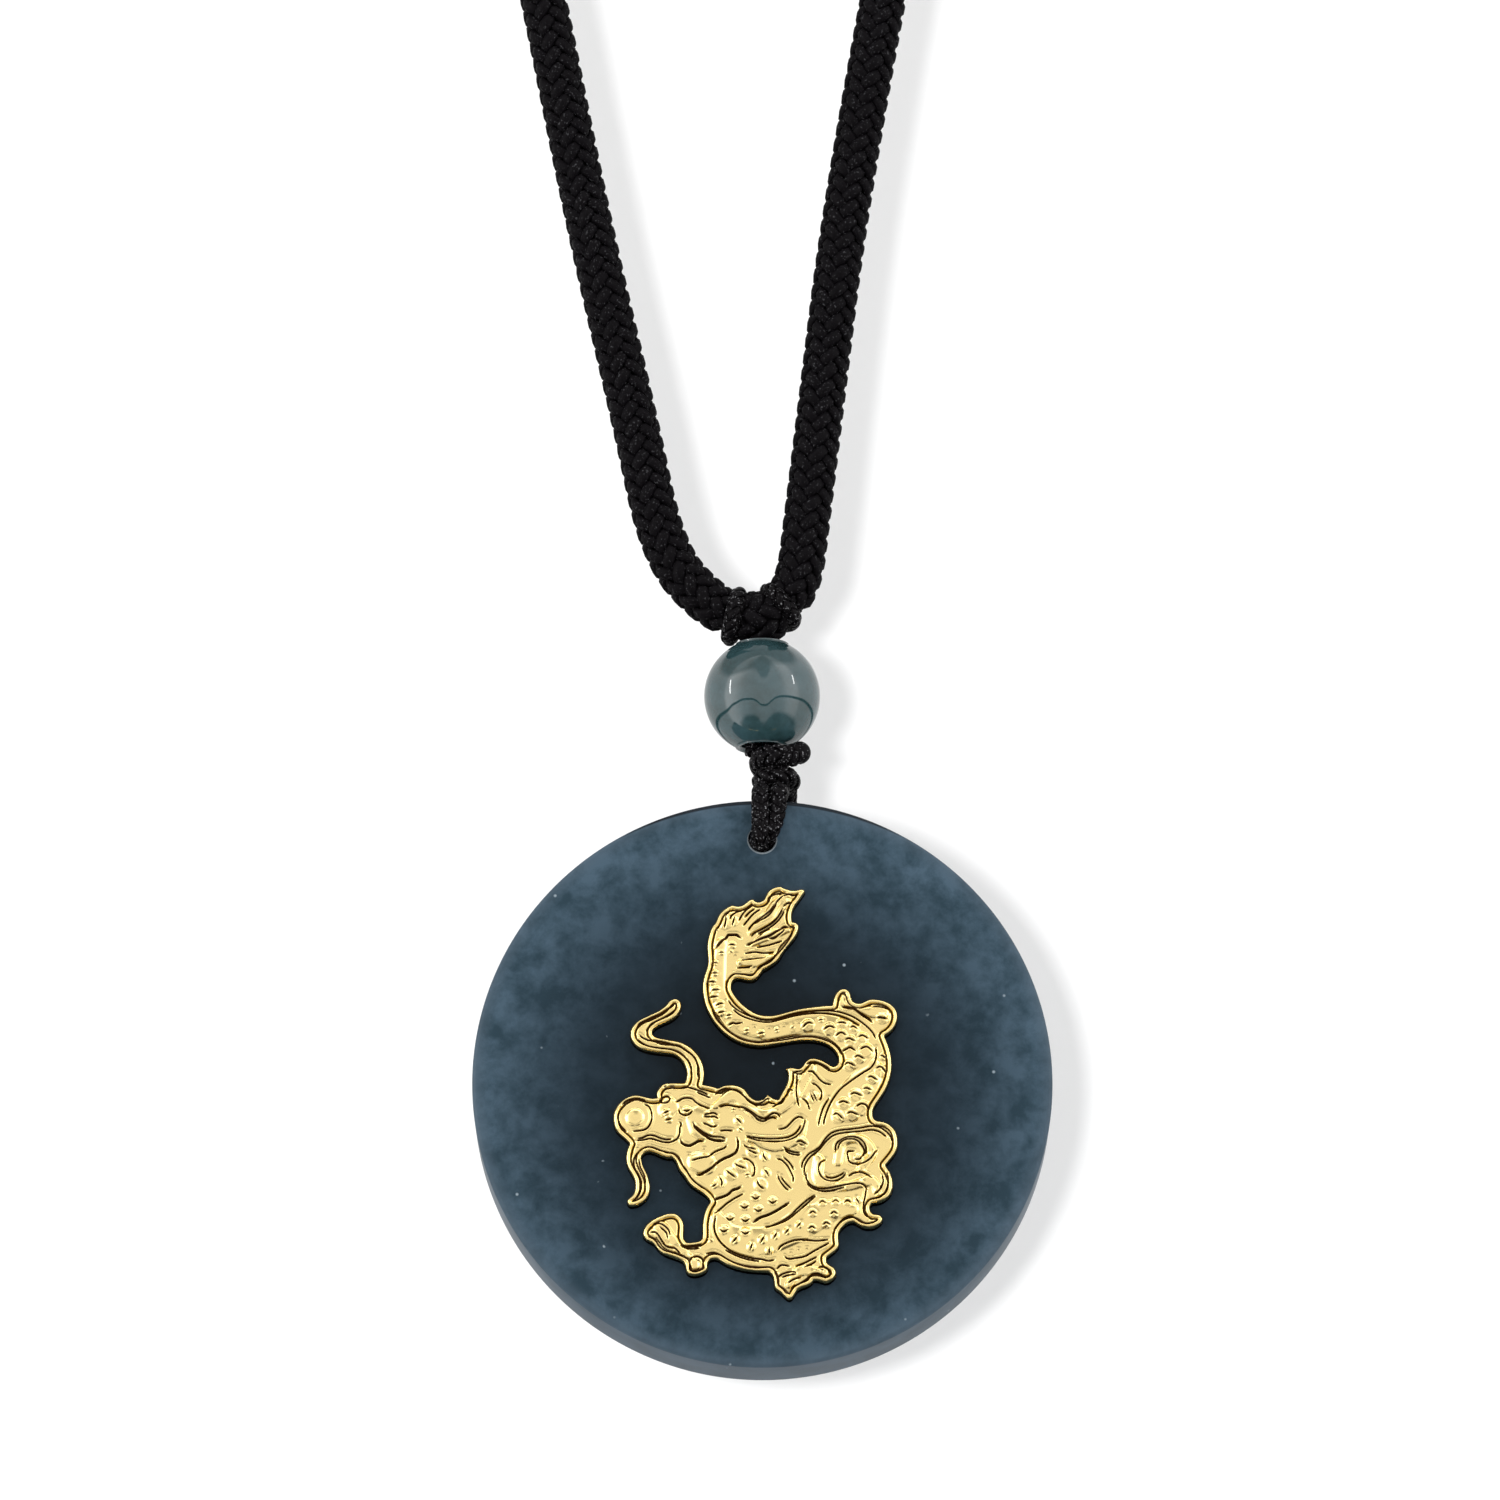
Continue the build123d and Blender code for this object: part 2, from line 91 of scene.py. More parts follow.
# The neck cord's route: across, and down from the nape. It is that of the part's source, but some
# points near the fold are moved by under 1 mm, to follow the photograph.
NECK_ROUTE = [
    (-0.0005, 0.0), (-0.0115, 0.0), (-0.031, 0.0115), (-0.0423, 0.031), (-0.0438, 0.060),
    (-0.0384, 0.101), (-0.0313, 0.145), (-0.02395, 0.188), (-0.01635, 0.224), (-0.01225, 0.2452),
    (-0.0090, 0.2592), (-0.0070, 0.2691), (-0.0037, 0.2730), (-0.0004, 0.2744), (0.0025, 0.27215),
    (0.0032, 0.2663), (0.00425, 0.2575), (0.0058, 0.2445), (0.0093, 0.224), (0.01625, 0.188),
    (0.0252, 0.144), (0.0352, 0.100), (0.0435, 0.060), (0.0423, 0.031), (0.031, 0.0115),
    (0.0115, 0.0), (0.0005, 0.0),
]

# The hitch's two turns on the neck cord, in millimetres from its fold. Each has its place across
# and up with its lean in degrees and its radius, then the knees of its strand and of the bar behind it.
HITCH_TURNS = (
    ((-1.95, 0.05, -13, 1.5),
     [(-1.2, 2.35, 0.45), (-0.75, 2.25, -0.4)], [(-2.2, 2.5, -0.5), (-1.4, 3.55, 0.1)]),
    ((1.3, 0.85, 42, 1.3),
     [(0.9, 2.35, 0.7), (0.75, 2.25, -0.4)], [(1.9, 2.5, 0.2), (1.1, 3.55, 0.5)]),
)

# How far apart the hitch's strands run in the bead, in millimetres
STRANDS_APART = 1.24

# Where the neck cord's thickness changes, in millimetres from its fold: across, up, by what share of
# it, and within what reach. The hitch's turns press it and its fold bulges.
NECK_CHANGES = (*((across, up, -0.3, 0.7) for (across, up, _, _), _, _ in HITCH_TURNS), (-0.4, 0, 0.2, 1.4))

# Spacing of the stations along the cords
NECK_STEP = 0.3 * MM
THIN_STEP = 0.08 * MM

# A braid's strand: its half thickness and how far it passes over and under, as shares of the cord's
# radius, how much of the way round the strands of one lay fill, and how steeply they pass
STRAND_THICK = 0.16
STRAND_SWING = 0.18
STRAND_COVER = 0.62
STRAND_STEEPNESS = 1.8

# The smooth line of an octagon of control points lies at about this share of their ring's radius
OCTAGON = 0.925

# The knot: its middle across, the radius and height of its low turn and of its top one, how many
# times as deep as wide they are, and the cord's cut end
KNOT_MIDDLE = 0.98 * MM
KNOT_LOW_TURN = (0.9 * MM, KNOT_FOOT + 0.85 * MM)
KNOT_TOP_TURN = (1.12 * MM, KNOT_TOP - 0.5 * MM)
KNOT_DEPTH = 1.4
KNOT_END = (2.6 * MM, -0.9 * MM, KNOT_TOP - 0.1 * MM)
KNOT_END_RADIUS = 0.8 * MM

# How many times as thick the knotted cord is, and by what share the loop's cords swell in the hole
KNOTTED = 1.32
HOLE_SWELL = 0.3

# The dragon's chart: the place of the disc's centre, across and up
CHART_CENTRE = (35.2, 52.88)

# A thin line whose ends lie nearer than this on the chart is the edge of a scale
SCALE_CHORD = 3.0

# Widths of the relief's parts: a thick line's and a burr's as shares of a thin line's, a scale's as a
# share of its chord, and the slope inside the rim as a share of the rim's half width
THICK_LINE = 1.5
BURR_WIDTH = 2.4
SCALE_WIDTH = 1.3
SLOPE_WIDTH = 1.6

# How deep a line is at its ends, as a share, how many widths in from them it is full, and how deep
# the border groove is beside a full line
TAPER_DEPTH = 0.45
TAPER_LENGTH = 5
BORDER_DEPTH = 0.8

# Heights over the jade where the gold's upright side ends and where its foot, painted black as a contact
# shadow, stands out
SIDE_FOOT = 0.06 * MM
PAINTED_SHADOW_FOOT = 0.05 * MM

# Lights: azimuth to the camera's left, elevation, distance, width and height, and radiance
SOFTBOXES = (
    ("softbox_left", 60, 6, 0.8, (0.7, 0.6), 1.3),
    ("softbox_right", -66, 10, 0.8, (0.6, 0.55), 1.2),
    ("softbox_top", 0, 62, 0.8, (0.9, 0.35), 2.2),
    ("strip_left", 66, 10, 0.75, (0.03, 0.3), 10),
    ("strip_right", -66, 22, 0.75, (0.03, 0.2), 8),
)

# The lamp that throws the shadow on the wall: its place from the camera, and its width
LAMP_OFFSET = (-0.038, 0, 0.007)
LAMP_WIDTH = 0.028

# The tent's seam round the world, from behind by the left, and its height, both from 0 to 1
TENT_SEAM = ((0, 0.2), (0.24, 0.1), (0.34, 0.28), (0.43, 0.41), (0.47, 0.34), (0.51, 0.2), (0.55, 0.34),
             (0.61, 0.5), (0.7, 0.45), (0.86, 0.26), (1, 0.2))

# The tent's brightness by height over the seam, from 0 at the foot to 1 overhead
TENT_CLOTH = ((0.05, 0.05), (0.22, 0.1), (0.28, 0.8), (0.49, 0.95), (0.51, 1.1), (0.7, 1.15), (0.8, 1.05),
              (0.92, 1.2), (0.98, 0.5))

# The windows at the tent's sides, by place round the world: a third is the plain cloth's brightness
TENT_WINDOWS = ((0, 0.33), (0.23, 0.33), (0.27, 0.4), (0.3, 0.75), (0.33, 0.7), (0.42, 0.36), (0.5, 0.33),
                (0.6, 0.36), (0.66, 0.6), (0.69, 0.62), (0.73, 0.4), (0.8, 0.33), (1, 0.33))

# The dragon's carved lines, read off its face, in hundredths of its height: across from its
# left end, and up from its foot. A semicolon ends a line.
DRAGON_LINES = {
    "tail tuft": """
        26.6,92.6 27.5,93.9; 30,93.7 29.4,93.6 28.7,93.2 27.9,92.5 27.5,91.7;
        33,95.2 32,94.5 31,93.6 30.2,92.4 29.7,91.4; 33.4,94.3 32.2,93.4 31,92.2;
        26.6,92.5 26.5,91 26.2,89.6; 28.6,92.2 28.1,90.2;
        34.7,94.1 33.6,93.4 32.6,92.5 31.8,91.5 30.7,90.2; 40,98 38.8,97.9 37.8,97.6 36.9,97 36.4,96.1;
        40,97.3 38.6,95.8 38.3,94.9 37.1,93 36,92 34.6,91.3 33.4,90.6;
        38,95.1 37.3,94 36.3,93 35,92.1 33.8,91.2 32.9,90.4 32.2,89.5 31.9,88.9;
        40,94.3 39.3,92.9 38.3,91.5 37,90.4 35.3,89.4 34,88.7 33.1,88.2 32.6,87.6;
        40.4,93.9 39.8,92.6 38.8,91.2 37.3,89.9 35.8,89 34.2,88.2;
        40.2,97.4 41.4,97.6 42.6,97.5 43.8,97.9; 40.2,94.8 41,95.4 42.2,95.8;
        40.4,89.1 39.6,88.2 38.2,87.2 36.8,86.9; 39.8,86.4 37.8,85.7 36.4,85.3 34,84.9;
        38,83.8 36.5,83.5 35,83.5 33.4,83.7 31.2,83.4; 35.7,82.3 34,82.1 30.4,81.7;
        32.7,80.2 31.2,80 29.3,79.9; 33.4,78.4 32.4,78.2 30.6,78.3 28.9,78.4 28,78 27.5,77.4;
        42.4,88.6 41.6,86.9 40.6,85.4 39.4,83.9 38.2,82.6 36.8,81.1 35.2,80.3 33.8,79.2""",
    "tail": """
        27.3,85.4 28,85.5 28.8,85.3; 25,83.4 26.1,83.5; 27.5,84 28,83.5; 28.6,83 29,83;
        23.6,81.1 24.6,80.8; 23.3,78.5 24.6,78.4; 22.4,76.5 24.1,76.2; 23.3,74.3 25,74.4;
        22.5,72.6 24.6,72.7; 24.3,70.6 25.2,71 26,71; 24.7,68.8 26.3,69.1; 26.7,68.1 27.9,68.3;
        27.3,65.9 28.2,66.4 29,66.2 30.5,66.5; 24.2,89.1 24.6,89.1""",
    "body": """
        27.2,71.8 28.5,70.2 30.8,68.8 34.2,67.5 36.4,67.2 38.6,67.5 41.5,68.4 44.5,69.1 47.5,69.4
        51,69.5 54,69 57,67.8 59.5,66 61,64.5 62,62.8;
        28.4,69.6 30,68.3 32.2,67.4 34.6,66.8 37,66.7 40,67.5 44,68.5 48,68.9 51.5,68.7 55,67.7 58,66;
        23.4,69.5 24.3,67.5 25.6,66 27,64.6 28.8,63.3 30.5,62.4 32.6,61.9 34.4,61.7 37.5,62 40.5,62.4
        45,63.1 48,62.9 50,62.3 51.6,61.6 53,60.4 53.8,59""",
    "body scales": """
        44.8,65.3 45.5,66.1 46.3,66.4 47.1,66.2; 49.8,64.8 50.6,65.4 51.4,65.5 52.3,65.1;
        53,66.4 54,66.5 55,66.3; 56,65.3 56.6,65.6 57.6,65.1; 52.6,63.3 53.4,63.9 54.2,63.9 54.9,63.4;
        57.9,63 58.8,63.4 60.1,62.8; 54.8,62.3 55.6,62.6 57,62; 54.1,59.6 55,60.1 56,60.4 57.2,59.7;
        58.3,60 59.2,60.5 60.1,60.5 61.2,59.6; 57,58.1 57.8,58.4 59.2,57.7; 54.6,56.4 55.4,56.8 57,56;
        63,58.6 63.6,58.5 64.3,57.9; 62,55.4 62.8,55.8 63.6,55.5 64.3,54.4; 60.1,53.2 60.8,53.4 62.2,52.6;
        59,50.5 59.8,50.6 60.8,50.2; 56,49.1 56.9,49.4 58.6,48.8; 53.2,47.1 54.2,47.4 55.6,46.9;
        57.3,46.2 58.4,46.8 59.5,46.6 60.2,45.6; 51.9,44.3 52.8,44.5 54.2,43.2; 55.2,44.5 56,44.8 57.8,44.2;
        30.1,66.5 30.5,66.5; 31,64.5 32,64.6; 33.1,65.4 33.5,65.4; 34.2,63.7 35.6,64; 36.6,65 37,65;
        38.2,64.5 39,64.8; 40.1,65.5 40.5,65.5; 42.2,65 42.6,65.6; 43.6,66.3 44,66.3; 48.5,67 49.5,67.2""",
    "rear foot": """
        54.2,73.4 54.8,73.1 55.3,72.4; 61.2,70.4 62,70.5 63.4,70.3 64.9,69.9;
        62.4,67.7 63.4,67.6 64.6,67.4""",
    "chest": """
        49.6,42 49.9,43.6 50.8,46.2 52,48.4 53.6,50.5 55.4,51.9 57.2,53.2 59,54.4 60.6,55.4 61.6,56.8
        62.1,58.6 62,60.5; 48.4,41.8 48.8,43.8 49.6,46.2 50.8,48.3""",
    "mane": """
        42.3,54.2 43.4,54.7 44.6,54.9; 45.9,54.6 46.8,54.7 47.8,54 48.6,53 49.8,52 51.4,51.6;
        45.6,56.5 46.6,57 47.6,57 48.8,56.6 50.4,55.8 51.4,54.9; 43.4,54.2 43.3,52 43.2,50 43.4,48 43.9,46.4;
        46.8,52 47.8,51.6 48.6,50.8 49.2,49.8 49.1,48.6 48.6,47.8; 46.6,49.4 46.9,48.6 47.4,47.4;
        47.2,49.6 48,47.7; 44.5,48.3 45.2,47.9 45.9,47 46.2,46 46.6,45.6; 41.1,50 41.7,50.5 42.4,50;
        37.5,46.3 38.6,46.8 39.6,47.4 40.2,48.4;
        24,49.2 25.2,50.1 26.6,50.6 28,50.4 29.4,49.9 30.6,49 31.8,47.9 33,47.1 34.2,46.9 35.2,47.3
        36.2,48.1 37,48.1;
        25,46.2 26.2,46.6 27.6,46.6 29,46.3 30.6,46 31.8,45.5 33.2,44.6 34.6,43.6 35.8,43.4 36.8,44
        37.8,44.6 38.8,44.4 39.4,43.8; 31,45.5 32.4,44.8 34,43.3 35.4,42.8 36.6,43.4 37.7,43.7 38.6,43.4""",
    "lower lock": """
        31.4,39.3 32.4,39 34.6,38.7 37.6,38.6 40.4,38.8 42.2,39.4 43.6,40.6 44.3,41.8;
        31.6,38.9 33.6,38.2 36.4,37.9 39.6,37.9 42.2,38.5 44,39.8 44.9,41.5 45.3,43.2;
        39,40.9 40.4,41.1 41.4,41.9 42.4,43 43.4,43.7 44.2,43.8 45,43.4; 43.2,37.6 44.2,37.9 45.6,37.2;
        43.9,37.2 45,36.9; 40.2,36.4 41.2,35.8 42.6,35.4 44,35.2; 40.6,35.8 41.8,35 43.4,34.7 44.2,34.8;
        30.8,37.2 31.6,36.6 33.6,36; 31.8,36 33.2,35.2 34,35; 35.4,35.2 35.6,34.2 36.2,33.4""",
    "under the mane": """
        30.6,33.9 31.8,33.6 33,32.6 33.4,31.2 33.2,30 32.6,29.5; 28.8,32.6 29.6,32 31.2,31.4;
        26.8,30.9 27.6,30.2 28.8,29.3; 31.2,29.8 32.1,30; 35.6,31.1 36.2,30.6 36.6,29.6;
        34,28.6 34.2,27.8 34.8,27 35.6,26.5; 38.8,29.9 39.1,29 39.8,27.8 40.6,26.8 41.4,26.2;
        39.6,29.4 40.6,28 42,26.6; 38.6,33.8 39.8,33.4 41,32.2 41.8,30.8 42.4,29.4 42.4,28.2;
        40.2,34.2 41.6,32.8 42.6,31.2""",
    "cloud": """
        44.4,31.6 44.8,33.2 46,34.8 47.6,35.8 48.8,36.8 50,38.6 51.4,39.9 53.4,40.6 56,40.9 58.4,41.2
        60.6,41.6 62.6,41.4 64,40.6 65.2,39.4 65.8,38;
        45,30 45.2,32.2 46.4,34.2 48.4,35.8 50.2,38 52.2,39.5 55,40.1 58.6,40.4 61,40.7 63,40.1 64.4,39;
        45.4,30.4 45.6,28.8 46.6,27.5 48.2,26.7 50.4,26.6 52.8,27 55,27.5 57.2,27.8 58.8,27.5 59.8,26.6;
        45.6,28 47,26.7 49.4,26 52,26.2 54.4,26.8; 50,33.5 48.8,32.7 48.4,31.3 48.8,29.8 50,28.7 51.8,28.4
        53.6,29 54.8,30.3; 50,29.8 50.6,29.3 51.8,29.2 53.2,29.7 54.4,30.5;
        52.4,35.4 52.6,37.2 53.8,38.4 55.6,39 57.4,38.8 58.8,37.9 59.6,36.4 59.4,35;
        52.9,36 53.6,37.6 55.2,38.4 57.2,38.2 58.6,37 59.2,35.4 58.6,34.2;
        56.9,35.6 56,35.6 55.2,35.4 55.3,34.4 55.6,33.2 56.6,32.6 58,32.5 59.6,33 60.8,34 61.8,35.4
        62.2,35.8; 57,33.6 58,33.6 58.6,34.4; 55.4,29.6 56.6,30.3 58,30.5 59.6,30.1 61,29.1;
        63.3,30 63.6,28.4 62.8,26.4 61.6,25.2; 64.6,30.2 64.8,28.2 64.2,26 62.8,24.6 60.6,24;
        59.6,26.6 59.3,24.6 58.9,22.6 59,21 59.8,19.9; 57.2,24.4 57.9,23;
        52,16.6 53.2,18.3 54.4,19.4 55.8,20 57,19.5 58.2,18.6 59.6,18.2 61,18.5 62,19""",
    "belly": """
        24,20.6 25.2,21.6 26.8,23 28.6,24.2 30.6,25.3;
        24.2,19.8 23.9,17.6 24.2,15.8 25.2,14 26.6,12.6 28,11.6 30,10.7 32.6,10 35,9.7 36.6,9.3 38,9.6;
        26.6,11.9 29,10.6 31.6,9.7 34.4,9.2;
        22,11 23.6,11.3 25.2,10.8 27,9.7 29,8.7 31.4,7.9 34,7.6 36.6,7.8 38,7.4;
        32.7,24.7 33.6,24.1 34.5,24.7; 36.7,23.7 37.6,23.1 38.5,23.7; 30.1,22.5 31,21.9 31.9,22.5;
        33.4,21.7 34.3,21.1 35.2,21.7; 26.7,19.6 27.6,19 28.5,19.6; 30.3,19.3 31.2,18.7 32.1,19.3;
        25.3,16.7 26.2,16.1 27.1,16.7; 30.3,16.2 31.2,15.6 32.1,16.2;
        28.3,13.6 29.3,15; 32.4,11.8 32.8,13.4; 34.8,13.5 35.6,15.1; 37.9,14.5 38.5,15.9;
        36.8,10.8 36.8,12.4; 40.6,15.7 41.4,16.9; 43.4,17.2 44.2,18.4;
        46,16.9 46.8,17.4 47.6,16.9; 49.4,17.9 50.2,18.4 51,17.9; 46.2,20.5 47,21 47.8,20.5;
        51.2,20.4 52,20.9 52.8,20.4; 48.5,23.1 49.3,23.6 50.1,23.1; 51.6,23.3 52.4,23.8 53.2,23.3;
        54.4,23.3 55.2,23.8 56,23.3;
        35.8,17.5 37.2,17.6 39.4,18.6 41.6,20 43.6,22 45.6,23.8 47.4,25;
        36.2,17.3 38.6,18 41,19 43.2,20.8 45.4,22.8 47.6,24.8;
        38.8,11.8 39.6,12.8 41.2,13.6 43,14.2 45.4,14.3 48,14.1 50.6,14.4;
        40.4,10.4 41.4,9.8 43.2,10 45.2,10.4 47.2,11.6 49,12.6 50.8,13.6;
        41.7,11.4 42.1,11.4; 43.4,12 43.8,12; 45.4,12.3 45.8,12.3""",
    "lower foot": """
        38.5,7.4 39.4,8.2 40.4,8.3 41.6,8; 43,8.1 45,8.8 46.8,9.7 48,10.3; 45,7.8 46.8,8.6 47.8,9.4;
        38.8,5.4 39.8,6.1 41.2,6.6 42.4,6.7 43.2,6.3; 39.8,5.4 41.2,5.9 43,6; 41.2,4 42.4,4.7 44.2,5.5;
        42,2.9 44,3.9 45.6,5 46.8,6 48,6.2 49.4,5.7 50.4,5.4 51,5.9 50.9,6.9 50.2,7.6 49.2,8 48.2,7.6;
        48.8,7.2 49.6,6.9; 38,7 38.6,5.4 38.9,3.6 40,2.6 40.6,1.8 41.2,1.5""",
    "front claw": """
        8.3,15.1 9.2,14.8 10.2,14 11,12.8 12.2,11.8 13.6,11.4 15.2,10.9 16.8,10.2 18.2,9.6;
        9,16.1 9.8,16.2 10.6,15.7 11.3,14.6 12.2,13.2 13.2,12.6 14.6,12.3 15.4,11.6 16,10.8;
        9.6,17.9 11,18.2 12.2,17.6 13.2,16.6 13.6,15.4; 11.2,17.3 12.6,16 13,14.6;
        16,13 17,12.8 18.8,12.9 21.2,13.2; 16.4,12.6 18.6,12.2 20.4,12.4;
        18.2,9 18.6,10 19.8,10.4 20.9,10 21.3,9; 18.1,8.4 18.2,7.2 19.2,6.7 20.6,7 21.5,7.7 21.2,8.8;
        19.8,9.6 20.4,9.2; 23,14.4 23.4,13.8""",
    "pearl and snout": """
        7.4,46.9 8.4,46.4 9,45.3 9.2,43.5 8.6,41.8 7.6,40.8 6.2,40.5 4.8,40.4;
        2.2,46.8 3.4,47.7 5.4,48.2 7.6,47.8; 1.4,45 1.2,43.5 1.8,41.8 3.2,40.3;
        11,48 11.6,47.2 12.8,47.2 13.4,48.2 12.8,48.8 12,48.6 11.2,48.2; 12,51 12.6,51.3; 13.6,51.2 14.4,51.2;
        16.2,51 17.4,51 18.6,50.7 19.8,50.3 21,49.9 22.4,49.2; 19.8,49.8 21.6,49 23,48.4;
        14.7,47.5 15.3,47.6 16.4,48.2 17.6,48.4 18.8,48.1 19.6,47.3 20.8,46.6 22,46.1 22.9,45.9;
        15.6,45.6 15.8,44.8 16.6,44.3 17.4,44.2 18.2,44.6 18.7,45.4; 16.6,45.4 17.4,45.2 18.2,45.5;
        12,44.5 12.8,44.9 13.3,45.1; 12.4,43 13.8,43.3; 13.3,42.3 13.7,42.3""",
    "jaw and beard": """
        5.9,38.6 7,38.8 8.4,39.4 9.8,39.3 11.2,38.7 12.6,38.4 13.8,38.5;
        5.6,38.2 7.2,38.3 8.8,38.6 10.4,38.2 11.8,37.8 13.2,37.7 14.2,38 15.2,38.6 15.7,39.8 15.8,41.2
        16.1,42.2 15.6,42.6; 5.7,36.5 6.1,36.5;
        7.2,36.2 8.2,36.6 9.4,36.4 11,35.8 12.8,35.3 14.2,34.9 15.2,34.1 16.4,32.2 17.4,30.9 18.4,29.2
        19.8,27.8 21.4,26.6; 19.4,41.6 20.6,40.6 22,39.6 23.6,39.1 25.4,39 26.6,38.6;
        21.4,44.2 22.4,44.5 23.6,44.8 24.8,44.3; 21.3,43.8 22.8,43.8 24,43.9 24.9,43.4;
        21.2,42.3 22.4,41.8 23.4,41.4 24.6,41.8; 25.2,40.5 26.6,40.6 28.2,40.5; 28,45.6 28.8,45.5;
        29,43.6 29.8,42.8 30.2,42.2; 29.6,41.2 30.4,40.5; 17.6,34.7 18,34.7; 21.2,36.1 21.6,36.1;
        18.6,33.3 19.8,33.6 21,33.9 22.4,34.2 23.2,34.8 24.4,35.6 26,36.2 26.8,37;
        25.1,29.3 25.5,28.8 25.7,28 25.6,27.1; 23.4,27 24.4,27.6""",
    "whiskers": """
        14.4,71 13.4,70.2 12.2,69.4 11,68.6 9,67.7 7.2,66.8 6.2,66.2 5.6,65.4;
        14.8,69.8 13.6,68.8 12,67.8 10.2,66.9 9,66.2 8.4,65.4 7.8,64.6;
        6.2,63.6 7.2,62.8 8.4,62.3 10,62.1 12,61.8 14,61.2 15.8,60.8 17.2,59.8 18.6,58.8 19.6,57.4
        20,55.6 20,53.6;
        5.6,62.6 6.6,61.8 8,61 9.6,60.6 11.6,60.3 13.4,60.1 15,59.5 16.6,58.5 17.8,57.2 18.4,55.8
        18.4,53.8; 14.8,71.2 15.2,71.2; 6,35.4 5,33.6 5.2,31.6 6.2,29.8 6.8,28 6.6,26.2 6,24.8 5.2,24;
        6.2,33.4 6.6,31.6 7.6,29.4 7.6,27.2""",
}

# The thicker carved lines, in the same way
DRAGON_THICK_LINES = {
    "tail": """
        41.4,89.8 40.4,89.8 39.5,89.2 38.3,88.5 36.8,87.5 35,86.9 33.4,86.2 31.5,85.4;
        24.3,84.8 25.8,86.5 26.6,87.1 27.1,87.8 28.2,87.9 29.2,87.8 30.2,87.1""",
    "limbs": """
        54,70.5 56,70.1 57,69.8 58.2,68.9 59.6,68 60.6,67.3 61.2,66.6;
        23.9,24 25.2,24.4 26.8,25 28.2,26.2 29.4,26.6 30.2,27.2;
        33,18.5 34.6,19.6 36.8,20.4 39,21.6 41.4,23.2""",
    "head": """
        15.9,38.4 16.2,37.7 17,37.1 18,36.9 19,37.3 20.2,38 21.4,38;
        18.9,42.3 19.4,41.2 20.4,40.2 21.6,39.3 23,38.5 24.6,38.1 26.4,38.1;
        19.7,29.9 20.6,30 22,30.6 23.4,31.6 24.6,32.8 26.2,33.8 27.6,34.4 28.8,35.2 29.4,36.4
        29.5,37.8 29.2,38.8""",
}

# Swelling forms under the lines, in the same hundredths: across, up and width at each section
DRAGON_FORMS = {
    "tail and back": [(25.6, 86, 2.6), (24.8, 80.5, 3.6), (24.5, 75, 4.4), (26.3, 70, 4.8), (30.6, 66.2, 4.8),
                      (37, 64.6, 4.4), (43.5, 66, 4.4), (49.5, 66.2, 4.8), (55, 63.4, 6.6), (58, 58.5, 7)],
    "chest": [(61.5, 56, 4), (58.6, 51, 8), (55.4, 46.4, 8)],
    "tuft, upper lock": [(32.5, 88.5, 1.6), (36.4, 92, 2.8), (38.6, 95.6, 2.2), (41.8, 98, 1.2)],
    "tuft, middle lock": [(33, 85.6, 1.2), (37, 87.8, 2.4), (41.4, 89, 1.2)],
    "tuft, lower lock": [(29.8, 81.2, 1.2), (33.4, 81, 2.2), (37.6, 82.6, 1.2)],
    "rear foot": [(54, 72.8, 1.8), (58.2, 69.8, 2.2), (63.6, 68.8, 3.2)],
    "mane": [(24, 46.4, 1.6), (28.6, 48.8, 3), (33.6, 44.8, 2.8), (38.6, 45.2, 2.4), (42.8, 49, 2.8),
             (46.8, 55.6, 2.2)],
    "lower lock": [(32, 38.4, 1.4), (38, 36.6, 2.4), (43.6, 38.6, 2.2), (45.2, 42.4, 1.2)],
    "belly": [(24.6, 20, 2.6), (27.2, 15.8, 5), (32, 14, 7), (38.6, 14.8, 6.4), (45.4, 18.6, 7.2),
              (51.8, 21.4, 5), (56.6, 21.6, 2.6)],
    "front claw": [(19.4, 8.2, 2.2), (14.8, 13.4, 2.6), (11.4, 16.8, 4)],
    "lower foot": [(41.4, 3.6, 1.8), (44, 6.8, 2.6), (49.6, 6.6, 2)],
    "cloud sweep": [(48.4, 33.6, 2.6), (48.6, 28.6, 2.8), (54.4, 27, 2.2), (60.6, 28.4, 2.6),
                    (62.4, 25.4, 1.6)],
    "cloud curl": [(52.9, 33, 2.2), (54.2, 37.6, 2.2), (58.6, 38.4, 2.2), (61, 35, 2.2), (58.4, 31.2, 2.2)],
    "pearl": [(5.1, 43.6, 4.2), (5.3, 43.8, 4.2)],
    "snout": [(12.8, 45.6, 4.6), (13.2, 46.2, 4.6)],
    "cheek": [(20.2, 43.4, 6), (20.8, 41.4, 6)],
    "jaw": [(20, 33, 5), (22, 32.4, 5)],
}


def read_route(name, points):
    """The smooth NURBS line of a route's points, as the curve's own mesh gives it."""
    curve = bpy.data.curves.new(name, "CURVE")
    curve.dimensions = "3D"
    curve.resolution_u = 32
    spline = curve.splines.new("NURBS")
    spline.points.add(len(points) - 1)
    for handle, point in zip(spline.points, points):
        handle.co = (*point, 1.0)
    spline.order_u = 3
    spline.use_endpoint_u = True
    holder = bpy.data.objects.new(name, curve)
    mesh = bpy.data.meshes.new_from_object(holder)
    line = np.empty(3 * len(mesh.vertices))
    mesh.vertices.foreach_get("co", line)
    bpy.data.meshes.remove(mesh)
    bpy.data.objects.remove(holder)
    bpy.data.curves.remove(curve)
    return line.reshape(-1, 3)


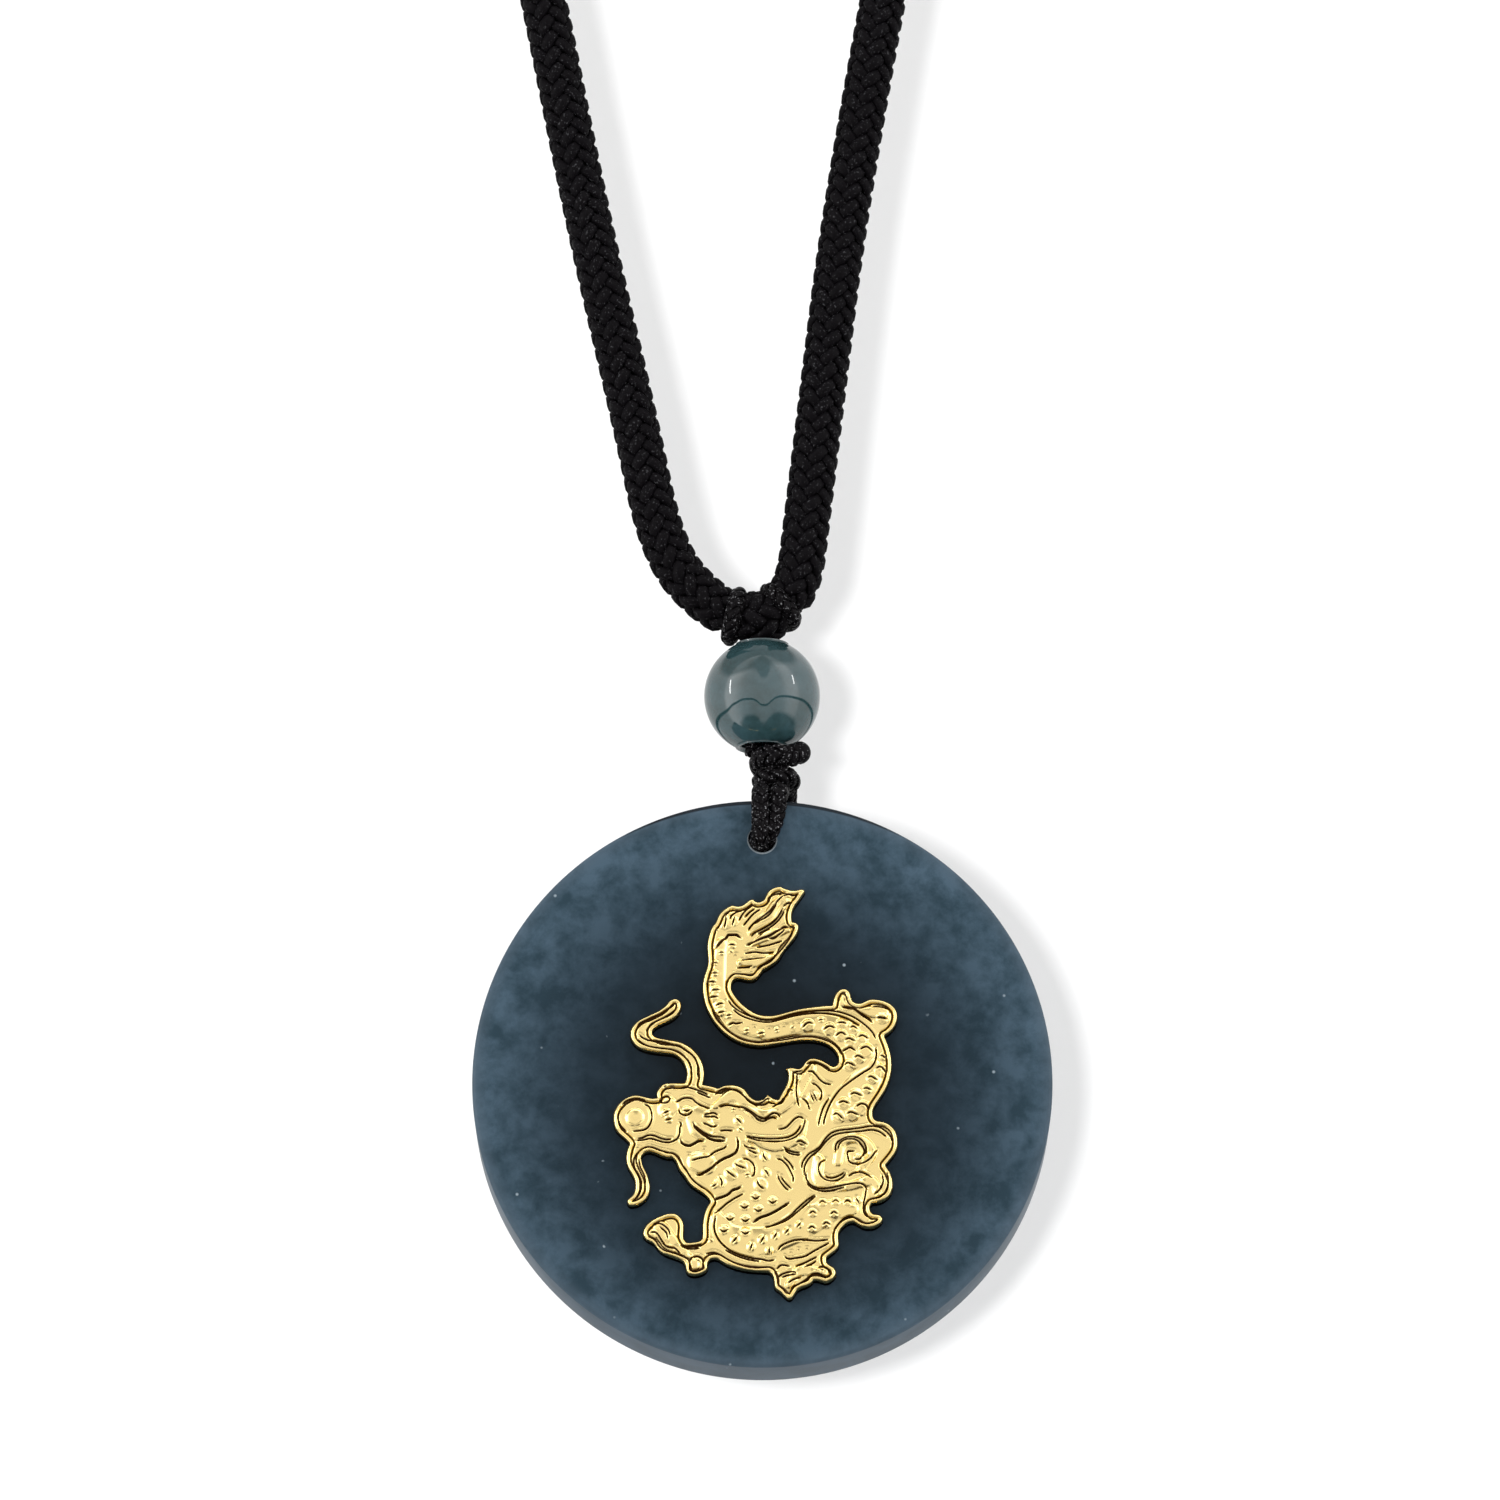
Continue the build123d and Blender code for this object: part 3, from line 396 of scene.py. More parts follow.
def frames_along(line, step, sideways):
    """Even stations along a line: distance, place, heading and two crossways directions."""
    reach = np.concatenate([[0], np.cumsum(np.linalg.norm(np.diff(line, axis=0), axis=1))])
    at = np.linspace(0, reach[-1], max(round(reach[-1] / step), 2) + 1)
    spots = np.column_stack([np.interp(at, reach, values) for values in line.T])
    heading = np.gradient(spots, axis=0)
    heading /= np.linalg.norm(heading, axis=1)[:, None]
    side = np.empty_like(spots)
    now = np.array(sideways, float)
    for station, ahead in enumerate(heading):
        now = now - ahead * now.dot(ahead)
        now /= np.linalg.norm(now)
        side[station] = now
    return at, spots, heading, side, np.cross(heading, side)


def made_mesh(bm, name):
    """The mesh of a bmesh, which is freed."""
    mesh = bpy.data.meshes.new(name)
    bm.to_mesh(mesh)
    bm.free()
    return mesh


def shade_smooth(bm):
    """Smooths every face of a mesh and turns it outward."""
    bmesh.ops.recalc_face_normals(bm, faces=bm.faces)
    for face in bm.faces:
        face.smooth = True


def swept(name, stations, sides, count, place):
    """Closed tubes laid over grids: place gives each point from its station, angle and tube's number."""
    bm = bmesh.new()
    bm.loops.layers.uv.new("UVMap")
    for number in range(count):
        bmesh.ops.create_grid(bm, x_segments=stations - 1, y_segments=sides, size=0.5,
                              matrix=Matrix.Translation((0.5, 0.5, number)), calc_uvs=True)
    mesh = bpy.data.meshes.new(name)
    bm.to_mesh(mesh)
    spots = np.empty(3 * len(mesh.vertices))
    mesh.vertices.foreach_get("co", spots)
    along, around, number = spots.reshape(-1, 3).T
    station = np.rint(along * (stations - 1)).astype(int)
    mesh.vertices.foreach_set("co", place(station, around * tau, np.rint(number)).ravel())
    bm.clear()
    bm.from_mesh(mesh)
    bmesh.ops.remove_doubles(bm, verts=bm.verts, dist=0.0001 * MM)
    bmesh.ops.holes_fill(bm, edges=[edge for edge in bm.edges if edge.is_boundary], sides=0)
    shade_smooth(bm)
    bm.to_mesh(mesh)
    bm.free()
    return mesh


def strands_mesh(name, frames, radius, strands, lead, lay):
    """The strands of a braid that turn one way, each over two and under two of the others.

    The radius is one number or one for each station.
    """
    at, spots, heading, side, up = frames
    radius = np.broadcast_to(radius, at.shape)
    thick = STRAND_THICK * radius
    swing = STRAND_SWING * radius
    middle = radius - thick - swing
    wide = STRAND_COVER * tau * middle / strands * lead / np.hypot(lead, tau * middle)
    steep = STRAND_STEEPNESS

    # A strand turns about the cord, and one wave of passing over and under spans four crossings
    def place(station, angle, number):
        turned = tau * (lay * at[station] / lead + number / strands)
        passed = 2 * number + lay * 2 * strands * at[station] / lead - (0.5 if lay > 0 else 2.5)
        wave = np.tanh(steep * np.cos(pi / 2 * passed)) / np.tanh(steep)
        reach = middle[station] + swing[station] * wave
        out = np.cos(turned)[:, None] * side[station] + np.sin(turned)[:, None] * up[station]
        ring = np.cos(turned)[:, None] * up[station] - np.sin(turned)[:, None] * side[station]
        ahead = heading[station] + (lay * tau / lead * reach)[:, None] * ring
        ahead /= np.linalg.norm(ahead, axis=1)[:, None]
        across = np.cross(ahead, out)
        return (spots[station] + (reach + thick[station] * np.sin(angle))[:, None] * out
                + (wide[station] * np.cos(angle))[:, None] * across)

    return swept(name, len(at), 6, strands, place)


def core_mesh(name, frames, radius):
    """A plain round tube along a line, with one radius or one for each station."""
    at, spots, heading, side, up = frames
    radius = np.broadcast_to(radius, at.shape)

    def place(station, angle, number):
        out = np.cos(angle)[:, None] * side[station] + np.sin(angle)[:, None] * up[station]
        return spots[station] + radius[station][:, None] * out

    return swept(name, len(at), 8, 1, place)


def lathe(name, profile, centre, turn, closed=True, steps=128):
    """Spins a profile of radius and height about an axis: +Z turned by the matrix.

    A closed profile is a ring of points, and an open one leaves its two ends as edges to be filled.
    """
    bm = bmesh.new()
    ring = bmesh.ops.create_circle(bm, segments=len(profile), radius=1)["verts"]
    for vert, (radius, height) in zip(ring, profile):
        vert.co = (radius, 0, height)
    if not closed:
        seam = [edge for edge in ring[0].link_edges if edge.other_vert(ring[0]) == ring[-1]]
        bmesh.ops.delete(bm, geom=seam, context="EDGES")
    bmesh.ops.spin(bm, geom=bm.verts[:] + bm.edges[:], axis=(0, 0, 1), angle=tau, steps=steps,
                   use_merge=True)
    bmesh.ops.transform(bm, matrix=Matrix.Translation(centre) @ turn, verts=bm.verts)
    shade_smooth(bm)
    return made_mesh(bm, name)


def arc(middle, radius, start, end, count):
    """Points of an arc as radius and height; the angles are in degrees."""
    return [(middle[0] + radius * cos(radians(angle)), middle[1] + radius * sin(radians(angle)))
            for angle in np.linspace(start, end, count)]


def add_piece(name, mesh, material, body, node):
    """Links a finished mesh as a piece that rides on a body and stands for a CAD node."""
    piece = bpy.data.objects.new(name, mesh)
    bpy.context.scene.collection.objects.link(piece)
    mesh.materials.append(material)
    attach(piece, body)
    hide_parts(node)


def add_braid(names, frames, radius, strands, lead, material, node):
    """Adds a cord's strands of the right lay and of the left, and its core, under these names."""
    right, left, core = names
    for name, lay in ((right, 1), (left, -1)):
        mesh = strands_mesh(name, frames, radius, strands, lead, lay)
        add_piece(name, mesh, material, "necklace", node)
    add_piece(core, core_mesh(core, frames, radius / 2), material, "necklace", node)


def new_material(name, **values):
    """A Principled material with these constants, its nodes, its links and its shader."""
    material = bpy.data.materials.new(name)
    material.use_nodes = True
    nodes, links = material.node_tree.nodes, material.node_tree.links
    shader = nodes["Principled BSDF"]
    for socket, value in values.items():
        shader.inputs[socket.replace("_", " ")].default_value = value
    return material, nodes, links, shader


def add_node(nodes, kind, values=(), **settings):
    """A node with settings, and its inputs set by name or number."""
    node = nodes.new("ShaderNode" + kind)
    for key, value in settings.items():
        setattr(node, key, value)
    for key, value in dict(values).items():
        node.inputs[key].default_value = value
    return node


def add_range(nodes, low, high, to_low=0.0, to_high=1.0, **settings):
    """A node that maps low to to_low and high to to_high, and stays within them."""
    values = {"From Min": low, "From Max": high, "To Min": to_low, "To Max": to_high}
    return add_node(nodes, "MapRange", values, **settings)


def wire(links, *pairs):
    """Links nodes: each pair is a node, its output, another node and its input."""
    for source, output, target, socket in pairs:
        links.new(source.outputs[output], target.inputs[socket])


def new_group(name, vectors, floats, masks):
    """A node group that takes these vectors and floats and gives these masks: what fills it, and its ends."""
    group = bpy.data.node_groups.new(name, "ShaderNodeTree")
    for sockets, way, kind in ((vectors, "INPUT", "Vector"), (floats, "INPUT", "Float"),
                               (masks, "OUTPUT", "Float")):
        for socket in sockets:
            group.interface.new_socket(socket, in_out=way, socket_type="NodeSocket" + kind)
    ends = group.nodes.new("NodeGroupInput"), group.nodes.new("NodeGroupOutput")
    return group, group.nodes, group.links, *ends


def use_group(nodes, make, **values):
    """A node that uses the group that a function makes, which is made the first time only."""
    node = nodes.new("ShaderNodeGroup")
    node.node_tree = bpy.data.node_groups.get(make.__name__) or make()
    for key, value in values.items():
        node.inputs[key].default_value = value
    return node


def stone():
    """Node group: clouds, specks and a fine grain in the stone, from a place in metres."""
    group, nodes, links, ends_in, ends_out = new_group(
        "stone", ["Vector"], [], ["Cloud", "Specks", "Grain"])
    cloud = add_node(nodes, "TexNoise", {"Scale": 430, "Detail": 7, "Roughness": 0.66, "Distortion": 0.15})
    spread = add_range(nodes, 0.38, 0.62)
    flecks = add_node(nodes, "TexVoronoi", {"Scale": 620}, feature="F1")
    near = add_range(nodes, 0.02, 0.09, 1, 0)
    few = add_node(nodes, "TexNoise", {"Scale": 900, "Detail": 1})
    chosen = add_range(nodes, 0.54, 0.62)
    both = add_node(nodes, "Math", operation="MULTIPLY")
    grain = add_node(nodes, "TexNoise", {"Scale": 2600, "Detail": 3})
    for texture in (cloud, flecks, few, grain):
        wire(links, (ends_in, "Vector", texture, "Vector"))
    wire(links, (cloud, "Fac", spread, "Value"), (flecks, "Distance", near, "Value"),
         (few, "Fac", chosen, "Value"), (near, "Result", both, 0), (chosen, "Result", both, 1),
         (spread, "Result", ends_out, "Cloud"), (both, 0, ends_out, "Specks"),
         (grain, "Fac", ends_out, "Grain"))
    return group


def soft_spot():
    """Node group: a soft round mask about a centre, 1 inside the near radius and 0 beyond the far one."""
    group, nodes, links, ends_in, ends_out = new_group(
        "soft_spot", ["Vector", "Centre", "Stretch"], ["Near", "Far"], ["Mask"])
    offset = add_node(nodes, "VectorMath", operation="SUBTRACT")
    scaled = add_node(nodes, "VectorMath", operation="MULTIPLY")
    length = add_node(nodes, "VectorMath", operation="LENGTH")
    fade = add_range(nodes, 0, 1, 1, 0, interpolation_type="SMOOTHSTEP")
    wire(links, (ends_in, "Vector", offset, 0), (ends_in, "Centre", offset, 1), (offset, 0, scaled, 0),
         (ends_in, "Stretch", scaled, 1), (scaled, 0, length, 0), (length, "Value", fade, "Value"),
         (ends_in, "Near", fade, "From Min"), (ends_in, "Far", fade, "From Max"),
         (fade, "Result", ends_out, "Mask"))
    return group


def fibres():
    """Node group: fibres twisted along a strand by its UV map, and a mask of pale specks by place in metres,
    for painted glints.
    """
    group, nodes, links, ends_in, ends_out = new_group(
        "fibres", ["UV", "Stretch", "Vector"], [], ["Fibres", "Glinting"])
    stretch = add_node(nodes, "VectorMath", operation="MULTIPLY")
    twisted = add_node(nodes, "TexNoise", {"Scale": 1, "Detail": 2, "Distortion": 0.4})
    specks = add_node(nodes, "TexNoise", {"Scale": 6500, "Detail": 2})
    few = add_range(nodes, 0.62, 0.7)
    wire(links, (ends_in, "UV", stretch, 0), (ends_in, "Stretch", stretch, 1),
         (stretch, 0, twisted, "Vector"), (twisted, "Fac", ends_out, "Fibres"),
         (ends_in, "Vector", specks, "Vector"), (specks, "Fac", few, "Value"),
         (few, "Result", ends_out, "Glinting"))
    return group


def mix_colours(nodes, links, mask, first, second):
    """A mix: first where the mask's socket is 0, second where it is 1. Each is a colour or a socket."""
    mix = add_node(nodes, "Mix", data_type="RGBA")
    links.new(mask, mix.inputs["Factor"])
    for socket, colour in ((mix.inputs[6], first), (mix.inputs[7], second)):
        if isinstance(colour, bpy.types.NodeSocket):
            links.new(colour, socket)
        else:
            socket.default_value = (*colour, 1)
    return mix.outputs[2]


def add_bump(nodes, links, shader, height, strength, distance):
    """Bumps a shader by a height socket."""
    bump = add_node(nodes, "Bump", {"Strength": strength, "Distance": distance})
    links.new(height, bump.inputs["Height"])
    wire(links, (bump, "Normal", shader, "Normal"))


def cord_material(name, colour, roughness, turns, glint):
    """Dark twisted fibres that run along each strand, with pale specks of painted glints; turns is how many
    cross it.
    """
    material, nodes, links, shader = new_material(name, Roughness=roughness, Specular_IOR_Level=0.04)
    place = add_node(nodes, "TexCoord")
    thread = use_group(nodes, fibres, Stretch=(turns * 60, turns, 1))
    wire(links, (place, "UV", thread, "UV"), (place, "Object", thread, "Vector"))
    paler = tuple(2.2 * part for part in colour)
    tint = mix_colours(nodes, links, thread.outputs["Fibres"], colour, paler)
    # Painted glints: pale specks mixed into the base colour stand in for light caught on the fibres
    tint = mix_colours(nodes, links, thread.outputs["Glinting"], tint, glint)
    links.new(tint, shader.inputs["Base Color"])
    add_bump(nodes, links, shader, thread.outputs["Fibres"], 0.35, 0.03 * MM)
    return material


def clouded_jade(name, deep, pale, **values):
    """Jade with clouds of a paler green in a deep one, and what a further finish builds on."""
    material, nodes, links, shader = new_material(name, **values)
    place = add_node(nodes, "TexCoord")
    veins = use_group(nodes, stone)
    wire(links, (place, "Object", veins, "Vector"))
    tint = mix_colours(nodes, links, veins.outputs["Cloud"], deep, pale)
    links.new(tint, shader.inputs["Base Color"])
    return material, nodes, links, shader, veins, place, tint


class NecklaceCordSettings(bpy.types.PropertyGroup):
    """The neck cord and the thin cord, both braided."""
    neck_diameter: bpy.props.FloatProperty(
        name="Neck cord", description="Diameter of the neck cord", default=0.00342, unit="LENGTH")
    neck_lead: bpy.props.FloatProperty(
        name="Neck cord's lead", description="Length in which a strand goes once round the neck cord",
        default=0.0098, unit="LENGTH")
    neck_strands: bpy.props.IntProperty(
        name="Neck cord's strands", description="Strands that turn each way", default=8,
        subtype="UNSIGNED")
    thin_diameter: bpy.props.FloatProperty(
        name="Thin cord", description="Diameter of the thin cord", default=0.00127, unit="LENGTH")
    thin_lead: bpy.props.FloatProperty(
        name="Thin cord's lead", description="Length in which a strand goes once round the thin cord",
        default=0.0024, unit="LENGTH")
    thin_strands: bpy.props.IntProperty(
        name="Thin cord's strands", description="Strands that turn each way", default=4,
        subtype="UNSIGNED")
    neck_colour: bpy.props.FloatVectorProperty(
        name="Neck cord's colour", description="Dyed black", default=(0.0022, 0.0018, 0.0023),
        subtype="COLOR")
    # Painted glints: the colour of the pale specks that stand in for light caught on the neck cord
    neck_glint: bpy.props.FloatVectorProperty(
        name="Neck cord's glints", description="Stray pale fibres", default=(0.045, 0.045, 0.048),
        subtype="COLOR")
    thin_colour: bpy.props.FloatVectorProperty(
        name="Thin cord's colour", description="Waxed black", default=(0.0028, 0.0024, 0.0028),
        subtype="COLOR")
    # Painted glints on the waxed thin cord, put in its base colour
    thin_glint: bpy.props.FloatVectorProperty(
        name="Thin cord's glints", description="Specks of wax", default=(0.22, 0.22, 0.23), subtype="COLOR")


class NecklaceJadeSettings(bpy.types.PropertyGroup):
    """The jade disc and bead, and the plain barrel."""
    rim_round: bpy.props.FloatProperty(
        name="Rim round", description="Radius at the disc's rim", default=0.00035, unit="LENGTH")
    hole_diameter: bpy.props.FloatProperty(
        name="Hole", description="Diameter of the disc's hole", default=0.0019, unit="LENGTH")
    hole_round: bpy.props.FloatProperty(
        name="Hole's round", description="Radius at the hole's mouths", default=0.00012, unit="LENGTH")
    bead_bore: bpy.props.FloatProperty(
        name="Bead's bore", description="Diameter of the bead's bore", default=0.00284, unit="LENGTH")
    barrel_bore: bpy.props.FloatProperty(
        name="Barrel's bore", description="Diameter of the barrel's bore", default=0.0032, unit="LENGTH")
    barrel_colour: bpy.props.FloatVectorProperty(
        name="Barrel's colour", description="Satin black", default=(0.015, 0.015, 0.016), subtype="COLOR")
    mouth_round: bpy.props.FloatProperty(
        name="Mouth round", description="Radius at a bore's mouths", default=0.0003, unit="LENGTH")
    disc_deep: bpy.props.FloatVectorProperty(
        name="Disc, deep", description="Slate green of the disc", default=(0.020, 0.042, 0.059),
        subtype="COLOR")
    disc_pale: bpy.props.FloatVectorProperty(
        name="Disc, pale", description="The disc's clouds", default=(0.056, 0.094, 0.130), subtype="COLOR")
    bead_deep: bpy.props.FloatVectorProperty(
        name="Bead, deep", description="Teal of the bead", default=(0.020, 0.052, 0.055), subtype="COLOR")
    bead_pale: bpy.props.FloatVectorProperty(
        name="Bead, pale", description="The bead's clouds", default=(0.036, 0.082, 0.093), subtype="COLOR")


class NecklaceDragonSettings(bpy.types.PropertyGroup):
    """The gold dragon's relief."""
    cell: bpy.props.FloatProperty(
        name="Cell", description="Width of the relief's cells", default=0.000059, unit="LENGTH")
    margin: bpy.props.FloatProperty(
        name="Margin", description="From the disc's rim to the chart's top and foot", default=0.0054,
        unit="LENGTH")
    side: bpy.props.FloatProperty(
        name="Side", description="Height of the upright side", default=0.0003, unit="LENGTH")
    rim: bpy.props.FloatProperty(
        name="Rim", description="Height of the rounded rim", default=0.00057, unit="LENGTH")
    field: bpy.props.FloatProperty(
        name="Field", description="Height inside the rim", default=0.00047, unit="LENGTH")
    swell: bpy.props.FloatProperty(
        name="Swell", description="How far a form swells over the field", default=0.00019, unit="LENGTH")
    border: bpy.props.FloatProperty(
        name="Border", description="From the outline to the border groove", default=0.00036, unit="LENGTH")
    line_depth: bpy.props.FloatProperty(
        name="Line depth", description="Depth of a carved line", default=0.00025, unit="LENGTH")
    line_width: bpy.props.FloatProperty(
        name="Line width", description="Half width of a carved line", default=0.000068, unit="LENGTH")
    burr: bpy.props.FloatProperty(
        name="Burr", description="How far the gold rises beside a line", default=0.00013, unit="LENGTH")
    scale: bpy.props.FloatProperty(
        name="Scale", description="How far a scale swells above its arc", default=0.00013, unit="LENGTH")
    # The dark foot is a painted contact shadow: a black lip flared round the gold on the jade
    foot: bpy.props.FloatProperty(
        name="Foot", description="Width of the dark foot round the gold", default=0.0001, unit="LENGTH")
    gold: bpy.props.FloatVectorProperty(
        name="Gold", description="Polished gold", default=(1.0, 0.77, 0.32), subtype="COLOR")
    # The grooves' colour is painted shade, darkening the gold in its carved lines
    groove: bpy.props.FloatVectorProperty(
        name="Groove", description="Darkened gold in the grooves", default=(0.035, 0.014, 0.003),
        subtype="COLOR")


class NecklaceStageSettings(bpy.types.PropertyGroup):
    """The camera, the pale stage and its lights."""
    lens: bpy.props.FloatProperty(
        name="Lens", description="Focal length in millimetres", default=206.06, subtype="UNSIGNED")
    aim: bpy.props.FloatVectorProperty(
        name="Aim", description="What the camera looks at, from the disc's centre",
        default=(-0.00085, 0.0, 0.02426), subtype="TRANSLATION")
    eye: bpy.props.FloatVectorProperty(
        name="Camera", description="The camera's place, from what it looks at",
        default=(0.0, -0.5801, -0.15327), subtype="TRANSLATION")
    wall_depth: bpy.props.FloatProperty(
        name="Wall", description="From the necklace to the wall behind it", default=0.04, unit="LENGTH")
    floor_depth: bpy.props.FloatProperty(
        name="Floor", description="From the nape down to the floor", default=0.6, unit="LENGTH")
    wall_colour: bpy.props.FloatVectorProperty(
        name="Wall's colour", description="Pale paper", default=(0.87, 0.87, 0.87), subtype="COLOR")
    surround: bpy.props.FloatProperty(
        name="Surround", description="Strength of the soft light all round", default=0.84, subtype="FACTOR")
    seam: bpy.props.FloatProperty(
        name="Seam", description="How bright the tent's seam is", default=0.0, subtype="FACTOR")
    shadow_light: bpy.props.FloatProperty(
        name="Shadow light", description="What the light beside the camera adds on the wall", default=0.42,
        subtype="FACTOR")


class NECKLACE_OT_neck_cord(bpy.types.Operator):
    """Braids the neck cord along its route, with strands laid both ways over a core"""
    bl_idname = "necklace.neck_cord"
    bl_label = "Neck cord"

    def execute(self, context):
        sizes = context.scene.necklace_cords
        route = [(across, 0.0, CORD_TOP - down) for across, down in NECK_ROUTE]
        frames = frames_along(read_route("neck_route", route), NECK_STEP, (0, 1, 0))
        black = cord_material("neck_cord_black", sizes.neck_colour, 0.55, 6, sizes.neck_glint)
        spots = frames[1]
        thickness = np.ones(len(spots))
        for across, up, share, reach in NECK_CHANGES:
            away = np.linalg.norm(spots - (across * MM, 0, FOLD + up * MM), axis=1)
            thickness += share * np.exp(-(away / (reach * MM)) ** 2)
        radius = sizes.neck_diameter / 2 * thickness
        names = "neck_cord_strands_right", "neck_cord_strands_left", "neck_cord_core"
        add_braid(names, frames, radius, sizes.neck_strands, sizes.neck_lead, black, "neck_cord")
        return {"FINISHED"}


def hitch_route():
    """The hitch's one line: up through the bead, round the neck cord twice, and down again.

    Its points are across, behind and up in millimetres from the neck cord's fold.
    """
    crown = (BEAD_CROWN - FOLD) / MM
    halves = []
    for side, ((across, up, lean, ring), strand, bar) in zip((-1, 1), HITCH_TURNS):
        # Up inside the bore, then out of it and behind the neck cord
        beside = side * STRANDS_APART / 2
        foot = [(beside, 0, (KNOT_TOP - FOLD) / MM), (beside, 0, crown - 0.9), (beside, 1.45, crown + 0.45)]
        turn = []
        for step in range(6):
            angle = pi / 8 - step * pi / 4
            rise = ring / cos(pi / 8) * cos(angle)
            turn.append((across - rise * sin(radians(lean)), ring / cos(pi / 8) * sin(angle),
                         up + rise * cos(radians(lean))))
        halves.append(foot + strand[::-1] + turn + bar)
    line = halves[0] + halves[1][::-1]
    return [(across * MM, behind * MM, FOLD + up * MM) for across, behind, up in line]


def knot_route():
    """The knot's two wound turns, from the foot up, to the cord's cut end on the right."""
    (low_ring, foot), (top_ring, head) = KNOT_LOW_TURN, KNOT_TOP_TURN
    first, leave, arrive, last = 135, 495, 630, 765
    line = []
    for angle in range(first, last + 1, 45):
        share = min(max((angle - leave) / (arrive - leave), 0), 1)
        ring = (low_ring + (top_ring - low_ring) * share) / OCTAGON
        line.append((KNOT_MIDDLE + ring * sin(radians(angle)), -KNOT_DEPTH * ring * cos(radians(angle)),
                     foot + (head - foot) * share))
    return line + [KNOT_END]


def loop_route(side):
    """One of the loop's two cords: out of the knot, through the hole and up behind the disc.

    The left one lies outside the right one, and under it in the hole. Each point is given across and
    behind in millimetres, then by a level and how far it lies over that, in millimetres.
    """
    depth = FACE / MM + 0.72
    beside, out, low = side * 0.64, 0.22 - 0.22 * side, side * 0.22
    front = [
        (0.75 + beside, -0.3, KNOT_FOOT, 1.1), (0.68 + beside, -0.8, KNOT_FOOT, 0.2),
        (0.6 + beside, -1.5, RIM_TOP, 0.5), (0.53 + beside, -2.8, RIM_TOP, 0.7),
        (0.5 + beside, -depth - 0.15, RIM_TOP, 0.2),
        (0.46 + 0.95 * beside, -depth - out / 2, RIM_TOP, -0.9),
        (0.36 + 0.75 * beside, -depth - out, HOLE_CENTRE, 0.9),
        (0.14 + 0.5 * beside, -depth - out, HOLE_CENTRE, low - 0.1),
        (0.06 + 0.45 * beside, -2.4, HOLE_CENTRE, low),
    ]
    back = [
        (0.06 + 0.45 * beside, 2.4, HOLE_CENTRE, low),
        (0.06 + 0.45 * beside, depth + out, HOLE_CENTRE, low),
        (0.5 + 0.6 * beside, depth + out, HOLE_CENTRE, 1.7),
        (1.1 + beside, depth, RIM_TOP, 0.5), (1.2 + beside, 2.4, KNOT_FOOT, 0),
        (1.2 + beside, 1.5, KNOT_FOOT, 0.7), (1.2 + beside, 0.3, KNOT_FOOT, 1.2),
    ]
    return [(across * MM, behind * MM, level + up * MM) for across, behind, level, up in front + back]


class NECKLACE_OT_thin_cord(bpy.types.Operator):
    """Braids the thin cord: the hitch on the neck cord, the knot under the bead and the disc's loop"""
    bl_idname = "necklace.thin_cord"
    bl_label = "Thin cord"

    def execute(self, context):
        sizes = context.scene.necklace_cords
        black = cord_material("thin_cord_black", sizes.thin_colour, 0.38, 3, sizes.thin_glint)
        radius = sizes.thin_diameter / 2
        lines = (
            ("hitch_cord", hitch_route(), radius, "hitch"),
            ("loop_cord_left", loop_route(-1), radius, "disc_loop"),
            ("loop_cord_right", loop_route(1), radius, "disc_loop"),
            ("knot_cord", knot_route(), KNOTTED * radius, "disc_loop"),
        )
        for name, route, thick, node in lines:
            frames = frames_along(read_route(name, route), THIN_STEP, (1, 0.2, 0.1))
            if name.startswith("loop"):
                _, behind, up = frames[1].T
                inside = np.exp(-(np.abs(behind) / (2.4 * MM)) ** 6) * (up < HOLE_CENTRE + 1.5 * MM)
                thick = radius * (1 + HOLE_SWELL * inside)
            names = (f"{name}_{part}" for part in ("right", "left", "core"))
            add_braid(names, frames, thick, sizes.thin_strands, sizes.thin_lead, black, node)
        bm = bmesh.new()
        bmesh.ops.create_uvsphere(bm, u_segments=32, v_segments=20, radius=KNOT_END_RADIUS)
        bmesh.ops.translate(bm, verts=bm.verts, vec=KNOT_END)
        shade_smooth(bm)
        add_piece("knot_end", made_mesh(bm, "knot_end"), black, "necklace", "disc_loop")
        return {"FINISHED"}


class NECKLACE_OT_bead(bpy.types.Operator):
    """Turns the polished bead that the thin cord's strands run through"""
    bl_idname = "necklace.bead"
    bl_label = "Bead"

    def execute(self, context):
        jade = context.scene.necklace_jade
        radius, bore, mouth = BEAD_SIZE.x / 2, jade.bead_bore / 2, jade.mouth_round
        edge = degrees(asin((bore + mouth) / radius))
        outside = arc((0, 0), radius, 90 - edge, edge - 90, 90)
        height = outside[0][1] - 0.75 * mouth
        profile = (arc((bore + mouth, height), mouth, 180, 60, 8) + outside
                   + arc((bore + mouth, -height), mouth, -60, -180, 8))
        mesh = lathe("jade_bead", profile, BEAD_CENTRE, Matrix())
        material, *_ = clouded_jade("bead_jade", jade.bead_deep, jade.bead_pale, Roughness=0.03, IOR=1.85)
        add_piece("jade_bead", mesh, material, "necklace", "bead")
        return {"FINISHED"}


